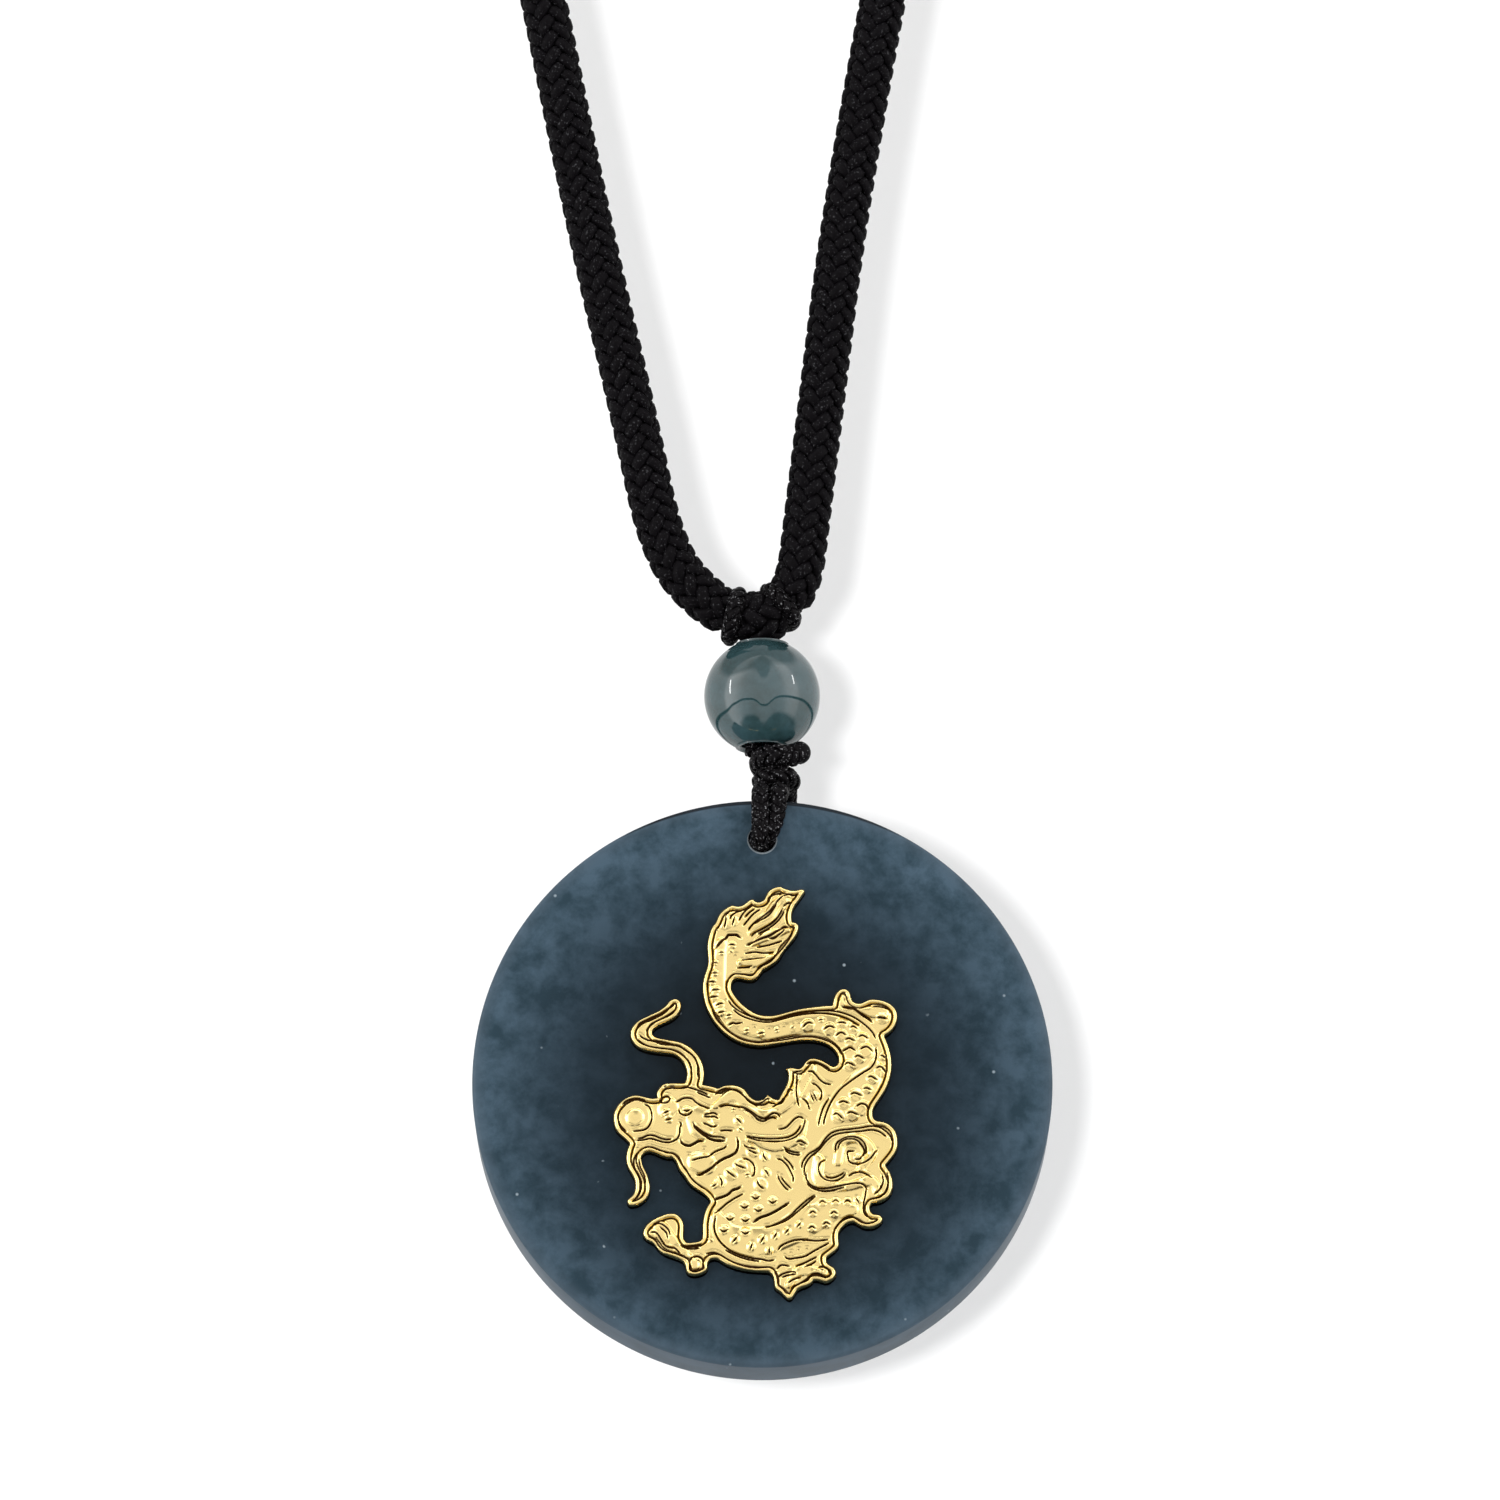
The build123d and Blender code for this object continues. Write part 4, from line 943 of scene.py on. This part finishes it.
class NECKLACE_OT_barrel(bpy.types.Operator):
    """Turns the barrel that joins the neck cord's ends at the nape"""
    bl_idname = "necklace.barrel"
    bl_label = "Barrel"

    def execute(self, context):
        jade = context.scene.necklace_jade
        radius, bore, half = BARREL_SIZE.z / 2, jade.barrel_bore / 2, BARREL_SIZE.x / 2
        shoulder, mouth = 0.8 * MM, jade.mouth_round
        profile = (arc((bore + mouth, half - mouth), mouth, 180, 90, 6)
                   + arc((radius - shoulder, half - shoulder), shoulder, 90, 0, 12)
                   + arc((radius - shoulder, shoulder - half), shoulder, 0, -90, 12)
                   + arc((bore + mouth, mouth - half), mouth, -90, -180, 6))
        mesh = lathe("plain_barrel", profile, BARREL_CENTRE, Matrix.Rotation(pi / 2, 4, "Y"), steps=96)
        material, nodes, links, shader = new_material("barrel_black", Roughness=0.42)
        place = add_node(nodes, "TexCoord")
        haze = add_node(nodes, "TexNoise", {"Scale": 1500, "Detail": 4})
        wire(links, (place, "Object", haze, "Vector"))
        paler = tuple(1.8 * part for part in jade.barrel_colour)
        tint = mix_colours(nodes, links, haze.outputs["Fac"], jade.barrel_colour, paler)
        links.new(tint, shader.inputs["Base Color"])
        add_bump(nodes, links, shader, haze.outputs["Fac"], 0.12, 0.02 * MM)
        add_piece("plain_barrel", mesh, material, "necklace", "nape_barrel")
        return {"FINISHED"}


def disc_material(jade):
    """Satin slate jade: clouded, darker towards its middle, with painted shade about the dragon, a painted
    reflection paling the rim, and a few specks.
    """
    material, nodes, links, shader, veins, place, tint = clouded_jade(
        "disc_jade", jade.disc_deep, jade.disc_pale, Roughness=0.38, IOR=1.62, Specular_IOR_Level=0.08)
    middle = Vector((DISC_CENTRE.x, -FACE, DISC_CENTRE.z))
    hole = Vector((DISC_CENTRE.x, -FACE, HOLE_CENTRE))
    mouth = (jade.hole_diameter / 2 + jade.hole_round) / MM
    # Each shade: a soft spot's centre, its near and far radius in millimetres, the colour, the most
    # that it covers, the spot's stretch in depth, and whether it lies beyond the spot and not within.
    # They are the face darkened towards its middle, painted shade about the dragon, a painted reflection
    # that makes the rim paler, a painted shade line on top of the front rounding, and a painted highlight on
    # the hole's edge.
    shades = (
        (middle - Vector((0, 0, 1.5 * MM)), 11.5, 20.8, (0.003, 0.009, 0.015), 0.8, 4, False),
        (middle, 4, 13.5, (0.001, 0.0025, 0.004), 0.8, 4, False),
        (middle, 18.8, 20.2, (0.07, 0.10, 0.13), 0.6, 0, True),
        (middle + Vector((0, 2 * FACE, -1.2 * MM)), 23.27, 23.35, (0.004, 0.006, 0.009), 0.9, 2, True),
        (hole - Vector((0, 0, 0.05 * MM)), mouth - 0.05, mouth, (0.4, 0.45, 0.48), 0.6, 0, False),
    )
    for centre, near, far, colour, most, depth, beyond in shades:
        mask = use_group(nodes, soft_spot, Centre=centre, Stretch=(1, depth, 1), Near=near * MM, Far=far * MM)
        low, high = (most, 0) if beyond else (0, most)
        weight = add_range(nodes, 0, 1, low, high)
        wire(links, (place, "Object", mask, "Vector"), (mask, "Mask", weight, "Value"))
        tint = mix_colours(nodes, links, weight.outputs["Result"], tint, colour)
    tint = mix_colours(nodes, links, veins.outputs["Specks"], tint, (0.35, 0.42, 0.47))
    links.new(tint, shader.inputs["Base Color"])
    add_bump(nodes, links, shader, veins.outputs["Grain"], 0.15, 0.02 * MM)
    return material


class NECKLACE_OT_disc(bpy.types.Operator):
    """Cuts the jade disc with its rounded rim and the hole for the loop"""
    bl_idname = "necklace.disc"
    bl_label = "Disc"

    def execute(self, context):
        jade = context.scene.necklace_jade
        upright = Matrix.Rotation(pi / 2, 4, "X")
        bend, mouth, hole = jade.rim_round, jade.hole_round, jade.hole_diameter / 2
        radius = DISC_SIZE.x / 2
        rim = (arc((radius - bend, FACE - bend), bend, 90, 0, 8)
               + arc((radius - bend, bend - FACE), bend, 0, -90, 8))
        bore = (arc((hole + mouth, FACE - mouth), mouth, 90, 180, 7)
                + arc((hole + mouth, mouth - FACE), mouth, 180, 270, 7))
        bm = bmesh.new()
        for profile, height, steps in ((rim, DISC_CENTRE.z, 256), (bore, HOLE_CENTRE, 96)):
            part = lathe("disc_part", profile, (0, 0, height), upright, closed=False, steps=steps)
            bm.from_mesh(part)
            bpy.data.meshes.remove(part)
        for side in (-1, 1):
            loops = [edge for edge in bm.edges if edge.is_boundary and side * edge.verts[0].co.y > FACE / 2]
            bmesh.ops.triangle_fill(bm, edges=loops, use_beauty=True)
        shade_smooth(bm)
        for face in bm.faces:
            face.smooth = abs(face.normal.y) < 0.9999
        mesh = made_mesh(bm, "jade_disc_shaped")
        add_piece("jade_disc_shaped", mesh, disc_material(jade), "pendant", "jade_disc")
        return {"FINISHED"}


def smooth_rows(rows, steps):
    """Rows of numbers with steps smooth ones between each two."""
    rows = np.array(rows, float)
    ends = np.vstack([2 * rows[0] - rows[1], rows, 2 * rows[-1] - rows[-2]])
    share = np.linspace(0, 1, steps, endpoint=False)[:, None]
    spans = [b + share / 2 * (c - a + share * (2 * a - 5 * b + 4 * c - d + share * (3 * b - a - 3 * c + d)))
             for a, b, c, d in zip(ends, ends[1:], ends[2:], ends[3:])]
    return np.vstack([*spans, rows[-1:]])


def read_lines(text):
    """The lines of a chart's text, each as rows of across and up."""
    return [[tuple(map(float, pair.split(","))) for pair in line.split()] for line in text.split(";")]


class Relief:
    """Fields over the dragon's face on a grid of cells, with places in metres from the disc's centre."""

    def __init__(self, sizes):
        self.sizes = sizes
        self.cell = sizes.cell
        low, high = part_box("dragon")
        self.low = np.array([low.x, low.z - DISC_CENTRE.z]) - 2 * self.cell
        high = np.array([high.x, high.z - DISC_CENTRE.z]) + 2 * self.cell
        self.shape = tuple(np.ceil((high - self.low) / self.cell).astype(int) + 1)
        self.unit = (DISC_SIZE.x - 2 * sizes.margin) / 100

    def chart(self, rows):
        """Chart places, in hundredths, as metres from the disc's centre; widths as metres."""
        rows = np.array(rows, float) * self.unit
        rows[:, :2] -= np.array(CHART_CENTRE) * self.unit
        return rows

    def window(self, points, reach):
        """The part of the grid within reach of some points, and its places."""
        low = np.clip(np.floor((points.min(axis=0) - reach - self.low) / self.cell).astype(int), 0, None)
        high = np.ceil((points.max(axis=0) + reach - self.low) / self.cell).astype(int) + 1
        part = tuple(slice(a, b) for a, b in zip(low, np.minimum(high, self.shape)))
        across = self.low[0] + self.cell * np.arange(part[0].start, part[0].stop)[:, None]
        up = self.low[1] + self.cell * np.arange(part[1].start, part[1].stop)[None, :]
        return part, across, up

    def nearest(self, start, end, reach):
        """For one straight run: the window, the distances in it and the nearest places on the run."""
        part, across, up = self.window(np.array([start, end]), reach)
        run = end - start
        share = ((across - start[0]) * run[0] + (up - start[1]) * run[1]) / max(run.dot(run), 1e-18)
        share = np.clip(share, 0, 1)
        near = start[0] + share * run[0], start[1] + share * run[1]
        return part, np.hypot(across - near[0], up - near[1]), near

    def read_outline(self):
        """Signed distance inside the outline of the CAD dragon's back, and the outline's nearest places."""
        bm = bmesh.new()
        bm.from_mesh(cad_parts["dragon"].data)
        bmesh.ops.remove_doubles(bm, verts=bm.verts, dist=0.001 * MM)
        back = max(vert.co.y for vert in bm.verts)
        flat = {face for face in bm.faces if all(back - vert.co.y < 0.01 * MM for vert in face.verts)}
        rim = [edge for edge in bm.edges if len(flat.intersection(edge.link_faces)) == 1]
        runs = np.array([[(v.co.x, v.co.z - DISC_CENTRE.z) for v in edge.verts] for edge in rim])
        bm.free()
        reach = 6 * self.sizes.border
        self.distance = np.full(self.shape, reach)
        self.near = np.zeros((2, *self.shape))
        inside = np.zeros(self.shape, bool)
        ups = self.low[1] + self.cell * np.arange(self.shape[1])
        for start, end in runs:
            part, distance, near = self.nearest(start, end, reach / 2)
            closer = distance < self.distance[part]
            self.distance[part][closer] = distance[closer]
            for field, values in zip(self.near, near):
                field[part][closer] = values[closer]
            if start[1] > end[1]:
                start, end = end, start
            for row in np.flatnonzero((ups >= start[1]) & (ups < end[1])):
                crossing = start[0] + (end[0] - start[0]) * (ups[row] - start[1]) / (end[1] - start[1])
                inside[max(int(np.ceil((crossing - self.low[0]) / self.cell)), 0):, row] ^= True
        self.distance[~inside] *= -1

    def carve(self, lines, width):
        """How deep the lines are carved, from 0 to 1, with each line's ends tapered."""
        carved = np.zeros(self.shape)
        for line in lines:
            points = self.chart(smooth_rows(line, 4))
            along = np.concatenate([[0], np.cumsum(np.linalg.norm(np.diff(points, axis=0), axis=1))])
            for i, (start, end) in enumerate(zip(points, points[1:])):
                spare = min(along[i] + along[i + 1], 2 * along[-1] - along[i] - along[i + 1]) / 2
                part, distance, _ = self.nearest(start, end, 3 * width)
                most = min(TAPER_DEPTH + spare / (TAPER_LENGTH * width), 1)
                carved[part] = np.maximum(carved[part], most * np.exp(-(distance / width) ** 2))
        return carved

    def swell(self, forms):
        """How far the forms swell, from 0 to 1."""
        risen = np.zeros(self.shape)
        for rows in forms:
            for row in self.chart(smooth_rows(rows, 12)):
                half = row[2] / 2
                part, across, up = self.window(row[None, :2], half)
                inner = np.clip(1 - ((across - row[0]) ** 2 + (up - row[1]) ** 2) / half**2, 0, 1)
                risen[part] = np.maximum(risen[part], np.sqrt(inner))
        return risen

    def heights(self):
        """The height over the dragon's back at each place, and how much painted shade darkens the grooves."""
        sizes = self.sizes
        thin = [line for text in DRAGON_LINES.values() for line in read_lines(text)]
        thick = [line for text in DRAGON_THICK_LINES.values() for line in read_lines(text)]
        carved = np.maximum(self.carve(thin, sizes.line_width),
                            self.carve(thick, THICK_LINE * sizes.line_width))
        beside = self.carve(thin + thick, BURR_WIDTH * sizes.line_width)
        risen = self.swell(DRAGON_FORMS.values())
        scales = []
        for (x1, y1), *_, (x2, y2) in thin:
            chord = np.hypot(x2 - x1, y2 - y1)
            if chord < SCALE_CHORD:
                scales.append([((x1 + x2) / 2, (y1 + y2) / 2, SCALE_WIDTH * chord)] * 2)
        scaled = self.swell(scales)
        depth = np.clip(self.distance, 0, None)
        crest = sizes.border / 2
        outer = sizes.side + (sizes.rim - sizes.side) * np.sqrt(1 - (1 - np.clip(depth / crest, 0, 1)) ** 2)
        inward = np.clip((depth - crest) / (SLOPE_WIDTH * crest), 0, 1)
        inward = inward * inward * (3 - 2 * inward)
        field = sizes.field + sizes.swell * risen + sizes.scale * scaled
        height = np.where(depth < crest, outer, sizes.rim + (field - sizes.rim) * inward)
        border = np.exp(-((depth - sizes.border) / sizes.line_width) ** 2)
        groove = np.maximum(carved, BORDER_DEPTH * border)
        return height + sizes.burr * beside - sizes.line_depth * groove, groove

    def mesh(self, name):
        """The relief's mesh: cells inside the outline, snapped to it, with sides and a back."""
        self.read_outline()
        height, groove = self.heights()
        back = DRAGON_CENTRE.y + DRAGON_SIZE.y / 2
        bm = bmesh.new()
        bmesh.ops.create_grid(bm, x_segments=self.shape[0] - 1, y_segments=self.shape[1] - 1, size=0.5,
                              matrix=Matrix.Translation((0.5, 0.5, 0)))
        mesh = bpy.data.meshes.new(name)
        bm.to_mesh(mesh)
        spots = np.empty(3 * len(mesh.vertices))
        mesh.vertices.foreach_get("co", spots)
        place = np.rint(spots.reshape(-1, 3)[:, :2] * (np.array(self.shape) - 1)).astype(int)
        column, row = place.T
        corners = np.empty(4 * len(mesh.polygons), int)
        mesh.loops.foreach_get("vertex_index", corners)
        signed = self.distance[column, row][corners.reshape(-1, 4)].mean(axis=1)
        cells = place[corners].reshape(-1, 4, 2).min(axis=1)
        kept = np.zeros(self.shape, bool)
        kept[cells[:, 0], cells[:, 1]] = signed > 0
        # Where two cells touch at a corner only, the two beside them are kept too, so nothing pinches
        for _ in range(3):
            a, b, c, d = kept[:-1, :-1], kept[1:, :-1], kept[:-1, 1:], kept[1:, 1:]
            touching = (a & d & ~b & ~c) | (b & c & ~a & ~d)
            kept[:-1, :-1] |= touching
            kept[1:, :-1] |= touching
        where = np.column_stack([self.low[0] + self.cell * column, back - height[column, row],
                                 DISC_CENTRE.z + self.low[1] + self.cell * row])
        mesh.vertices.foreach_set("co", where.ravel())
        # The groove attribute carries how deep each line is, which the gold shows as painted shade
        mesh.attributes.new("groove", "FLOAT", "POINT").data.foreach_set("value", groove[column, row])
        bm.clear()
        bm.from_mesh(mesh)
        bm.faces.ensure_lookup_table()
        outside = [bm.faces[i] for i in np.flatnonzero(~kept[cells[:, 0], cells[:, 1]])]
        bmesh.ops.delete(bm, geom=outside, context="FACES")
        # The cells' edge is moved on to the outline itself
        for vert in bm.verts:
            if vert.is_boundary:
                spot = (np.array([vert.co.x, vert.co.z - DISC_CENTRE.z]) - self.low) / self.cell
                across, up = self.near[:, round(spot[0]), round(spot[1])]
                vert.co = (across, back - self.sizes.side, DISC_CENTRE.z + up)
        dark = bm.verts.layers.float["groove"]
        # The side and a flared foot are marked 2 and painted black, as the dragon's painted contact shadow on
        # the jade
        for level, out in ((back - SIDE_FOOT, 0), (back - PAINTED_SHADOW_FOOT, self.sizes.foot), (back, 0)):
            rim = [edge for edge in bm.edges if edge.is_boundary]
            lower = bmesh.ops.extrude_edge_only(bm, edges=rim)["geom"]
            bmesh.ops.recalc_face_normals(bm, faces=bm.faces)
            bm.normal_update()
            for vert in lower:
                if isinstance(vert, bmesh.types.BMVert):
                    aside = Vector((vert.normal.x, 0, vert.normal.z))
                    if out and aside.length > 0:
                        vert.co += out * aside.normalized()
                    vert.co.y = level
                    vert[dark] = 2
        bmesh.ops.holes_fill(bm, edges=[edge for edge in bm.edges if edge.is_boundary], sides=0)
        shade_smooth(bm)
        for face in bm.faces:
            face.smooth = len(face.verts) == 4
        bm.to_mesh(mesh)
        bm.free()
        return mesh


def gold_material(sizes):
    """Polished gold, darkened in its grooves by painted shade, where the mesh's groove attribute is up to 1,
    and black at its foot as a painted contact shadow, where that is 2.
    """
    material, nodes, links, shader = new_material("dragon_gold", Metallic=1.0, Roughness=0.2)
    groove = add_node(nodes, "Attribute", attribute_name="groove")
    dark = add_range(nodes, 0.2, 0.6)
    foot = add_range(nodes, 1.2, 1.6)
    wire(links, (groove, "Fac", dark, "Value"), (groove, "Fac", foot, "Value"))
    # Painted shade in the grooves
    tint = mix_colours(nodes, links, dark.outputs["Result"], sizes.gold, sizes.groove)
    # A painted contact shadow at the gold's side and foot
    tint = mix_colours(nodes, links, foot.outputs["Result"], tint, (0.002, 0.002, 0.002))
    links.new(tint, shader.inputs["Base Color"])
    return material


class NECKLACE_OT_dragon(bpy.types.Operator):
    """Raises the gold dragon's relief inside the outline of its CAD solid"""
    bl_idname = "necklace.dragon"
    bl_label = "Dragon"

    def execute(self, context):
        sizes = context.scene.necklace_dragon
        mesh = Relief(sizes).mesh("gold_dragon")
        add_piece("gold_dragon", mesh, gold_material(sizes), "pendant", "dragon")
        return {"FINISHED"}


def add_aimed(name, data, spot, aim):
    """Links a camera or light at a spot, facing another place."""
    thing = bpy.data.objects.new(name, data)
    bpy.context.scene.collection.objects.link(thing)
    thing.location = spot
    thing.rotation_euler = (aim - spot).to_track_quat("-Z", "Y").to_euler()
    return thing


def add_panel(name, azimuth, elevation, away, size, radiance):
    """A soft panel that faces the bead, at an azimuth to the left of the camera's side."""
    light = bpy.data.lights.new(name, "AREA")
    light.shape = "RECTANGLE"
    light.size, light.size_y = size
    light.energy = radiance * pi * size[0] * size[1]
    azimuth, elevation = radians(azimuth), radians(elevation)
    towards = Vector((-sin(azimuth) * cos(elevation), -cos(azimuth) * cos(elevation), sin(elevation)))
    panel = add_aimed(name, light, BEAD_CENTRE + away * towards, BEAD_CENTRE)
    panel.visible_camera = False
    return panel


def backdrop_mesh(depth, floor):
    """A floor that bends up into a wall behind the necklace, in one sheet."""
    bend, width, front, top = 0.3, 3.0, 1.6, 1.2
    bm = bmesh.new()
    corner = [(-front, -floor)] + arc((depth - bend, bend - floor), bend, -90, 0, 13) + [(depth, top)]
    low = [bm.verts.new((-width / 2, behind, up)) for behind, up in corner]
    edges = [bm.edges.new(pair) for pair in zip(low, low[1:])]
    far = [item for item in bmesh.ops.extrude_edge_only(bm, edges=edges)["geom"]
           if isinstance(item, bmesh.types.BMVert)]
    bmesh.ops.translate(bm, vec=(width, 0, 0), verts=far)
    for face in bm.faces:
        face.smooth = True
    bm.normal_update()
    if bm.faces[:][0].normal.z < 0:
        bmesh.ops.reverse_faces(bm, faces=bm.faces)
    return made_mesh(bm, "backdrop")


def backdrop_material(colour):
    """Pale paper that is clear from behind, and unseen in reflections."""
    material, nodes, links, shader = new_material("backdrop_white", Roughness=1.0, Specular_IOR_Level=0.0)
    shader.inputs["Base Color"].default_value = (*colour, 1)
    clear = add_node(nodes, "BsdfTransparent")
    either = add_node(nodes, "MixShader")
    behind = add_node(nodes, "NewGeometry")
    ray = add_node(nodes, "LightPath")
    unseen = add_node(nodes, "Math", operation="MAXIMUM")
    wire(links, (behind, "Backfacing", unseen, 0), (ray, "Is Glossy Ray", unseen, 1), (unseen, 0, either, 0),
         (shader, "BSDF", either, 1), (clear, "BSDF", either, 2),
         (either, "Shader", nodes["Material Output"], "Surface"))
    return material


def add_curve(nodes, table):
    """A curve node through these places."""
    node = add_node(nodes, "FloatCurve")
    curve = node.mapping.curves[0]
    curve.points[0].location, curve.points[1].location = table[0], table[-1]
    for place in table[1:-1]:
        curve.points.new(*place)
    node.mapping.update()
    return node


def light_tent(stage):
    """A world like a white tent: bright cloth above a dark seam, dimmer cloth below it, and windows.

    The camera sees plain white, and the tent is tipped by the camera's own 15 degrees.
    """
    world = bpy.data.worlds.new("light_tent")
    world.use_nodes = True
    nodes, links = world.node_tree.nodes, world.node_tree.links
    place = add_node(nodes, "TexCoord")
    tip = add_node(nodes, "Mapping", {"Rotation": (radians(-15), 0, 0)})
    parts = add_node(nodes, "SeparateXYZ")
    forward = add_node(nodes, "Math", {1: -1}, operation="MULTIPLY")
    azimuth = add_node(nodes, "Math", operation="ARCTAN2")
    unit = add_range(nodes, -pi, pi)
    seam, windows = add_curve(nodes, TENT_SEAM), add_curve(nodes, TENT_WINDOWS)
    brighter = add_range(nodes, 0, 1, 0, 3)
    level = add_range(nodes, 0, 1, -0.5, 0.5)
    over = add_node(nodes, "Math", operation="SUBTRACT")
    height = add_range(nodes, -1, 1)
    cloth = add_node(nodes, "ValToRGB")
    stops = cloth.color_ramp.elements
    for at, grey in TENT_CLOTH:
        stops.new(at).color = (grey, grey, grey, 1)
    for unused_end in (0, -1):
        stops.remove(stops[unused_end])
    away = add_node(nodes, "Math", operation="ABSOLUTE")
    line = add_range(nodes, 0.02, 0.05, stage.seam, 1)
    shade = add_node(nodes, "Math", operation="MULTIPLY")
    glow = add_node(nodes, "Math", operation="MULTIPLY")
    lit = add_node(nodes, "Math", {1: stage.surround}, operation="MULTIPLY")
    ray = add_node(nodes, "LightPath")
    strength = add_node(nodes, "Mix", {3: 1.0}, data_type="FLOAT")
    sky = nodes["Background"]
    sky.inputs["Color"].default_value = (1, 1, 1, 1)
    wire(links, (place, "Generated", tip, "Vector"), (tip, "Vector", parts, 0), (parts, "Y", forward, 0),
         (parts, "X", azimuth, 0), (forward, 0, azimuth, 1), (azimuth, 0, unit, "Value"),
         (unit, "Result", seam, "Value"), (seam, "Value", level, "Value"), (parts, "Z", over, 0),
         (level, "Result", over, 1), (over, 0, height, "Value"), (height, "Result", cloth, "Fac"),
         (over, 0, away, 0), (away, 0, line, "Value"), (cloth, "Color", shade, 0),
         (line, "Result", shade, 1), (unit, "Result", windows, "Value"),
         (windows, "Value", brighter, "Value"), (shade, 0, glow, 0), (brighter, "Result", glow, 1),
         (glow, 0, lit, 0), (ray, "Is Camera Ray", strength, "Factor"), (lit, 0, strength, 2),
         (strength, 0, sky, "Strength"))
    return world


def receivers(name, pieces):
    """A collection of the pieces that a light falls on."""
    lit = bpy.data.collections.new(name)
    for piece in pieces:
        lit.objects.link(piece)
    return lit


class NECKLACE_OT_stage(bpy.types.Operator):
    """Sets the camera at the photograph's viewing angle, the pale backdrop and the studio lights"""
    bl_idname = "necklace.stage"
    bl_label = "Stage"

    def execute(self, context):
        scene, stage = context.scene, context.scene.necklace_stage
        aim = Vector((0, 0, DISC_CENTRE.z)) + stage.aim
        spot = aim + stage.eye
        camera = bpy.data.cameras.new("camera")
        camera.lens = stage.lens
        camera.sensor_width = 36
        camera.clip_start = 0.01
        scene.camera = add_aimed("camera", camera, spot, aim)
        scene.view_settings.view_transform = "Standard"
        scene.world = light_tent(stage)

        pieces = [piece for piece in scene.objects if piece.type == "MESH"]
        mesh = backdrop_mesh(stage.wall_depth, stage.floor_depth)
        mesh.materials.append(backdrop_material(stage.wall_colour))
        backdrop = bpy.data.objects.new("backdrop", mesh)
        scene.collection.objects.link(backdrop)

        # The softboxes would show as hard edges in the polished bead, so they pass it by
        lit = receivers("lit_pieces", pieces)
        lit_but_bead = receivers("lit_but_bead", [piece for piece in pieces if piece.name != "jade_bead"])
        for row in SOFTBOXES:
            panel = add_panel(*row)
            panel.light_linking.receiver_collection = lit_but_bead if row[0].startswith("softbox") else lit

        # The lamp lights the wall alone, all but where the necklace shades it from the lamp
        light = bpy.data.lights.new("shadow_light", "AREA")
        light.shape = "DISK"
        light.size = LAMP_WIDTH
        light.energy = stage.shadow_light * (pi * (stage.eye.length + stage.wall_depth)) ** 2
        lamp = add_aimed("shadow_light", light, spot + Vector(LAMP_OFFSET), aim)
        lamp.visible_camera = False
        lamp.visible_glossy = False
        lamp.light_linking.receiver_collection = receivers("lit_wall", [backdrop])
        return {"FINISHED"}


class NECKLACE_PT_panel(bpy.types.Panel):
    """Lists the necklace's pieces in the sidebar"""
    bl_idname = "NECKLACE_PT_panel"
    bl_label = "Jade dragon pendant necklace"
    bl_space_type = "VIEW_3D"
    bl_region_type = "UI"
    bl_category = "Necklace"

    def draw(self, context):
        for name in OPERATORS:
            self.layout.operator(f"necklace.{name}")


OPERATORS = ("neck_cord", "thin_cord", "bead", "barrel", "disc", "dragon", "stage")
SETTINGS = {
    "necklace_cords": NecklaceCordSettings,
    "necklace_jade": NecklaceJadeSettings,
    "necklace_dragon": NecklaceDragonSettings,
    "necklace_stage": NecklaceStageSettings,
}
CLASSES = (
    *SETTINGS.values(), NECKLACE_OT_neck_cord, NECKLACE_OT_thin_cord, NECKLACE_OT_bead,
    NECKLACE_OT_barrel, NECKLACE_OT_disc, NECKLACE_OT_dragon, NECKLACE_OT_stage, NECKLACE_PT_panel,
)


def register():
    """Registers the settings, operators and panel."""
    for item in CLASSES:
        bpy.utils.register_class(item)
    for name, kind in SETTINGS.items():
        setattr(bpy.types.Scene, name, bpy.props.PointerProperty(type=kind))


def unregister():
    """Takes them away again."""
    for name in SETTINGS:
        delattr(bpy.types.Scene, name)
    for item in reversed(CLASSES):
        bpy.utils.unregister_class(item)


def main():
    """Builds every piece in order."""
    register()
    for name in OPERATORS:
        getattr(bpy.ops.necklace, name)()


if __name__ == "__main__":
    main()
